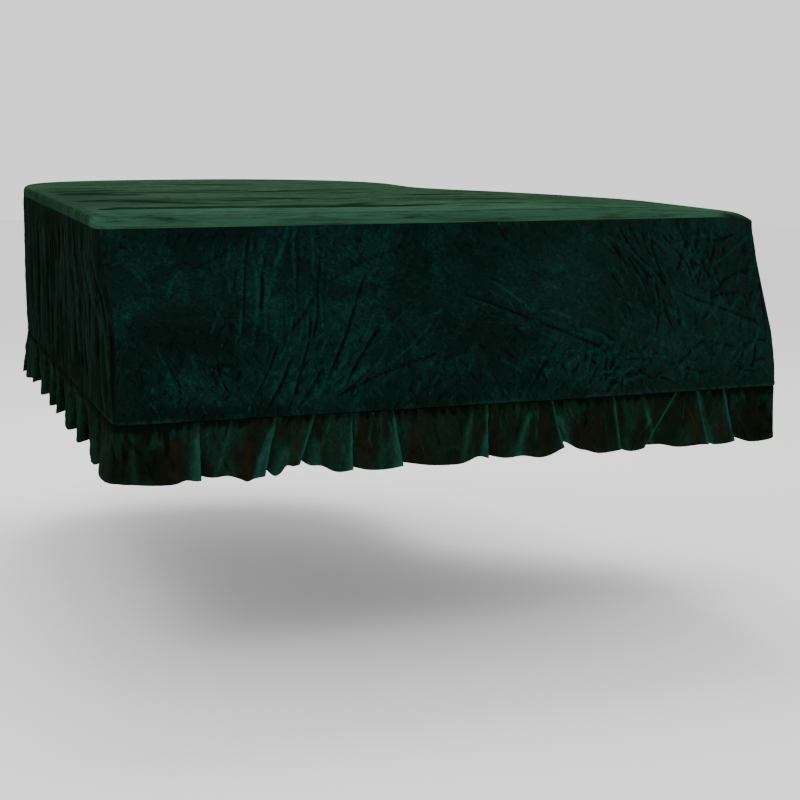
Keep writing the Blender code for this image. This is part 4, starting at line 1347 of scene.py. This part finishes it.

# %% [markdown]
# The top, the sides and the flounce are one cloth seen under different light, but the finish of
# each has its own mottling: long and pale on the top, upright on the sides, small on the front.
# Each part's colours and sheen are also painted lighter or darker for the light that part gets,
# the top's much paler than the sides'. A third mark blends in one more colour: a painted brown glow
# in the flounce's recesses, where the pile is thin and light comes through, a painted green sheen
# on the top's rolled edge and along its front, and a dull tone on the front's right half. A mapping
# node stretches the pattern. The inner face is a plain matt backing.

# %% Finishes
def velvet_as_lit(name, tones, patch_scale, stretch, crushed, sheen, bump, third_colour=None):
    """A velvet material: the group's colour and height, and a sheen set on the shader. Its tones and
    sheen are painted for the light that its part gets.
    """
    material = bpy.data.materials.new(name)
    material.use_nodes = True
    tree = material.node_tree
    shader = tree.nodes["Principled BSDF"]
    coordinates = add_node(tree, "ShaderNodeTexCoord").outputs["Object"]
    mapping = feed(tree, add_node(tree, "ShaderNodeMapping"), Vector=coordinates, Scale=stretch)
    crest = add_node(tree, "ShaderNodeAttribute", attribute_name="crest").outputs["Fac"]
    pale = add_node(tree, "ShaderNodeAttribute", attribute_name="pale").outputs["Fac"]
    velvet = add_node(tree, "ShaderNodeGroup", node_tree=VELVET)
    feed(tree, velvet, Where=mapping.outputs["Vector"], Pile=tones[0], Brushed=tones[1],
         Hollow=tones[2], Crest=crest, Pale=pale, Patch_Scale=patch_scale, Crushed=crushed)
    colour = velvet.outputs["Color"]
    # The third colour is painted light on the top (a green sheen on its edge) and on the flounce (a
    # brown glow in its recesses); on the front it is a duller tone.
    if third_colour:
        recess = add_node(tree, "ShaderNodeAttribute", attribute_name="recess").outputs["Fac"]
        broken = noise(tree, mapping.outputs["Vector"], 3.0 * patch_scale, 4.0, 0.6, 1.0)
        recess = maths(tree, "MULTIPLY", recess, between(tree, broken, 0.30, 0.62))
        colour = blend_colours(tree, maths(tree, "MULTIPLY", recess, 0.75), colour, third_colour)
    relief = feed(tree, add_node(tree, "ShaderNodeBump"), Height=velvet.outputs["Height"],
                  Strength=bump, Distance=0.004)
    feed(tree, shader, Base_Color=colour, Roughness=velvet.outputs["Roughness"],
         Normal=relief.outputs["Normal"], Metallic=0.0, Sheen_Weight=1.0, Sheen_Roughness=0.38,
         Sheen_Tint=sheen, Specular_IOR_Level=0.0)
    return material


def opaque(*colours):
    """Colours with full alpha."""
    return tuple((*colour, 1.0) for colour in colours)


def backing_finish():
    """The knitted back of the velvet: dull, with a fine even grain."""
    material = bpy.data.materials.new("backing")
    material.use_nodes = True
    tree = material.node_tree
    coordinates = add_node(tree, "ShaderNodeTexCoord").outputs["Object"]
    knit = noise(tree, coordinates, 900.0, 2.0, 0.6)
    colour = blend_colours(tree, knit, (0.006, 0.022, 0.015, 1.0), (0.012, 0.038, 0.026, 1.0))
    relief = feed(tree, add_node(tree, "ShaderNodeBump"), Height=knit, Strength=0.3, Distance=0.001)
    feed(tree, tree.nodes["Principled BSDF"], Base_Color=colour, Roughness=0.95,
         Normal=relief.outputs["Normal"], Specular_IOR_Level=0.1)
    return material


BACKING = backing_finish()
# Colours of each part of the cover: its standing pile; its tipped pile, which gives the mottling and
# the painted highlights on crests and folds; and the painted shade of its hollows. Each part's set is
# painted lighter or darker for the light that part gets, the top's much paler than the sides'.
FRONT_TONES = opaque((0.0023, 0.0064, 0.0047), (0.0038, 0.0275, 0.0215), (0.0014, 0.0022, 0.0016))
SIDE_TONES = opaque((0.0022, 0.0041, 0.0028), (0.0056, 0.0160, 0.0116), (0.0009, 0.0014, 0.0009))
TOP_TONES = opaque((0.0108, 0.0270, 0.0150), (0.0300, 0.0620, 0.0350), (0.0012, 0.0062, 0.0042))
FLOUNCE_TONES = opaque((0.0036, 0.0052, 0.0027), (0.0070, 0.0400, 0.0290), (0.0014, 0.0020, 0.0010))
BROWN_GLOW_TONE, DULL_TONE, EDGE_SHEEN_TONE = opaque(
    (0.0102, 0.0086, 0.0038), (0.0100, 0.0165, 0.0120), (0.0230, 0.0760, 0.0455),
)
# Each part's sheen is set apart too, to paint the light that part gets: weakest on the sides.
SHEEN_TOP, SHEEN_SIDE, SHEEN_FRONT, SHEEN_FLOUNCE = opaque(
    (0.010, 0.021, 0.011), (0.0032, 0.0064, 0.0048), (0.005, 0.020, 0.014), (0.005, 0.011, 0.007),
)
# Tones, scale of the patches, stretch, how crushed, sheen, bump, and the third mark's colour.
FINISH_ROWS = {
    "top": (TOP_TONES, 6.0, (0.4, 1.0, 6.0), 1.0, SHEEN_TOP, 0.35, EDGE_SHEEN_TONE),
    "front": (FRONT_TONES, 8.5, (1.0, 1.0, 1.0), 1.0, SHEEN_FRONT, 0.8, DULL_TONE),
    "side": (SIDE_TONES, 9.0, (1.0, 0.6, 0.1), 0.8, SHEEN_SIDE, 0.6),
    "flounce": (FLOUNCE_TONES, 12.0, (1.0, 1.0, 0.7), 0.4, SHEEN_FLOUNCE, 0.5, BROWN_GLOW_TONE),
}
FINISHES = {part: velvet_as_lit(part + "_velvet_as_lit", *row) for part, row in FINISH_ROWS.items()}
print("finishes:", list(FINISHES))

# %% [markdown]
# Now each sheet takes its finish, stands for its solid, which is hidden, and rides on the one
# body. The flat sizes are a little more than what shows, because a crease takes up cloth, and the
# flounces were cut about a third longer than their seams.

# %% Dress the solids
SKIRT_CUTS = {
    "front": (1.58, 0.43),
    "bentside": (1.42, 0.41),
    "tail": (1.53, 0.41),
    "bass": (1.26, 0.42),
}


def dress(name, node, finish):
    """Gives a sheet its finish and the backing, hangs it on the body and hides its solid."""
    sheet = PIECES[name]
    sheet.data.materials.append(finish)
    sheet.data.materials.append(BACKING)
    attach(sheet, "root")
    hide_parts(node)


dress("top_cloth", "top_panel", FINISHES["top"])
for side, cut in SKIRT_CUTS.items():
    finish = FINISHES["front" if side == "front" else "side"]
    dress(side + "_skirt_cloth", side + "_panel", finish)
    dress(side + "_flounce_cloth", side + "_flounce", FINISHES["flounce"])
print("sheets dressed:", len(PIECES))

# %% [markdown]
# The cover is shown at the height where it is worn, over a plain pale floor in an even white
# world. A broad light above and a little behind skims the top, and a smaller and weaker one in
# front on the left keeps the folds of the front readable.

# %% Floor, surround and lights
FLOOR_HEIGHT = -1.009
FLOOR_REACH = 14.0


def pale_floor():
    """A broad disc under the cover, its edge far outside the view."""
    bpy.ops.mesh.primitive_circle_add(vertices=96, radius=FLOOR_REACH, fill_type="NGON",
                                      location=(0.0, 0.0, FLOOR_HEIGHT))
    floor = bpy.context.object
    floor.name = "floor"
    bpy.ops.object.transform_apply(location=True, rotation=True, scale=True)
    material = bpy.data.materials.new("pale_floor")
    material.use_nodes = True
    feed(material.node_tree, material.node_tree.nodes["Principled BSDF"],
         Base_Color=(0.90, 0.90, 0.89, 1.0), Roughness=0.9, Specular_IOR_Level=0.1)
    floor.data.materials.append(material)
    floor.select_set(False)


def soft_light(name, place, target, size, power):
    """A square area light that looks at a target."""
    lamp = bpy.data.lights.new(name, "AREA")
    lamp.size = size
    lamp.energy = power
    light = bpy.data.objects.new(name, lamp)
    bpy.context.collection.objects.link(light)
    light.location = place
    light.rotation_euler = (Vector(target) - Vector(place)).to_track_quat("-Z", "Y").to_euler()


def white_surround(strength):
    """An even white world."""
    world = bpy.data.worlds.new("surround")
    world.use_nodes = True
    background = world.node_tree.nodes["Background"]
    background.inputs["Color"].default_value = (1.0, 1.0, 1.0, 1.0)
    background.inputs["Strength"].default_value = strength
    bpy.context.scene.world = world


pale_floor()
white_surround(1.3)
soft_light("light_above", (0.2, 1.2, 2.6), (0.0, 0.0, 0.0), 2.2, 110.0)
soft_light("light_front", (-2.2, -3.0, 2.2), (0.0, -0.6, -0.2), 1.2, 60.0)
print("stage set")
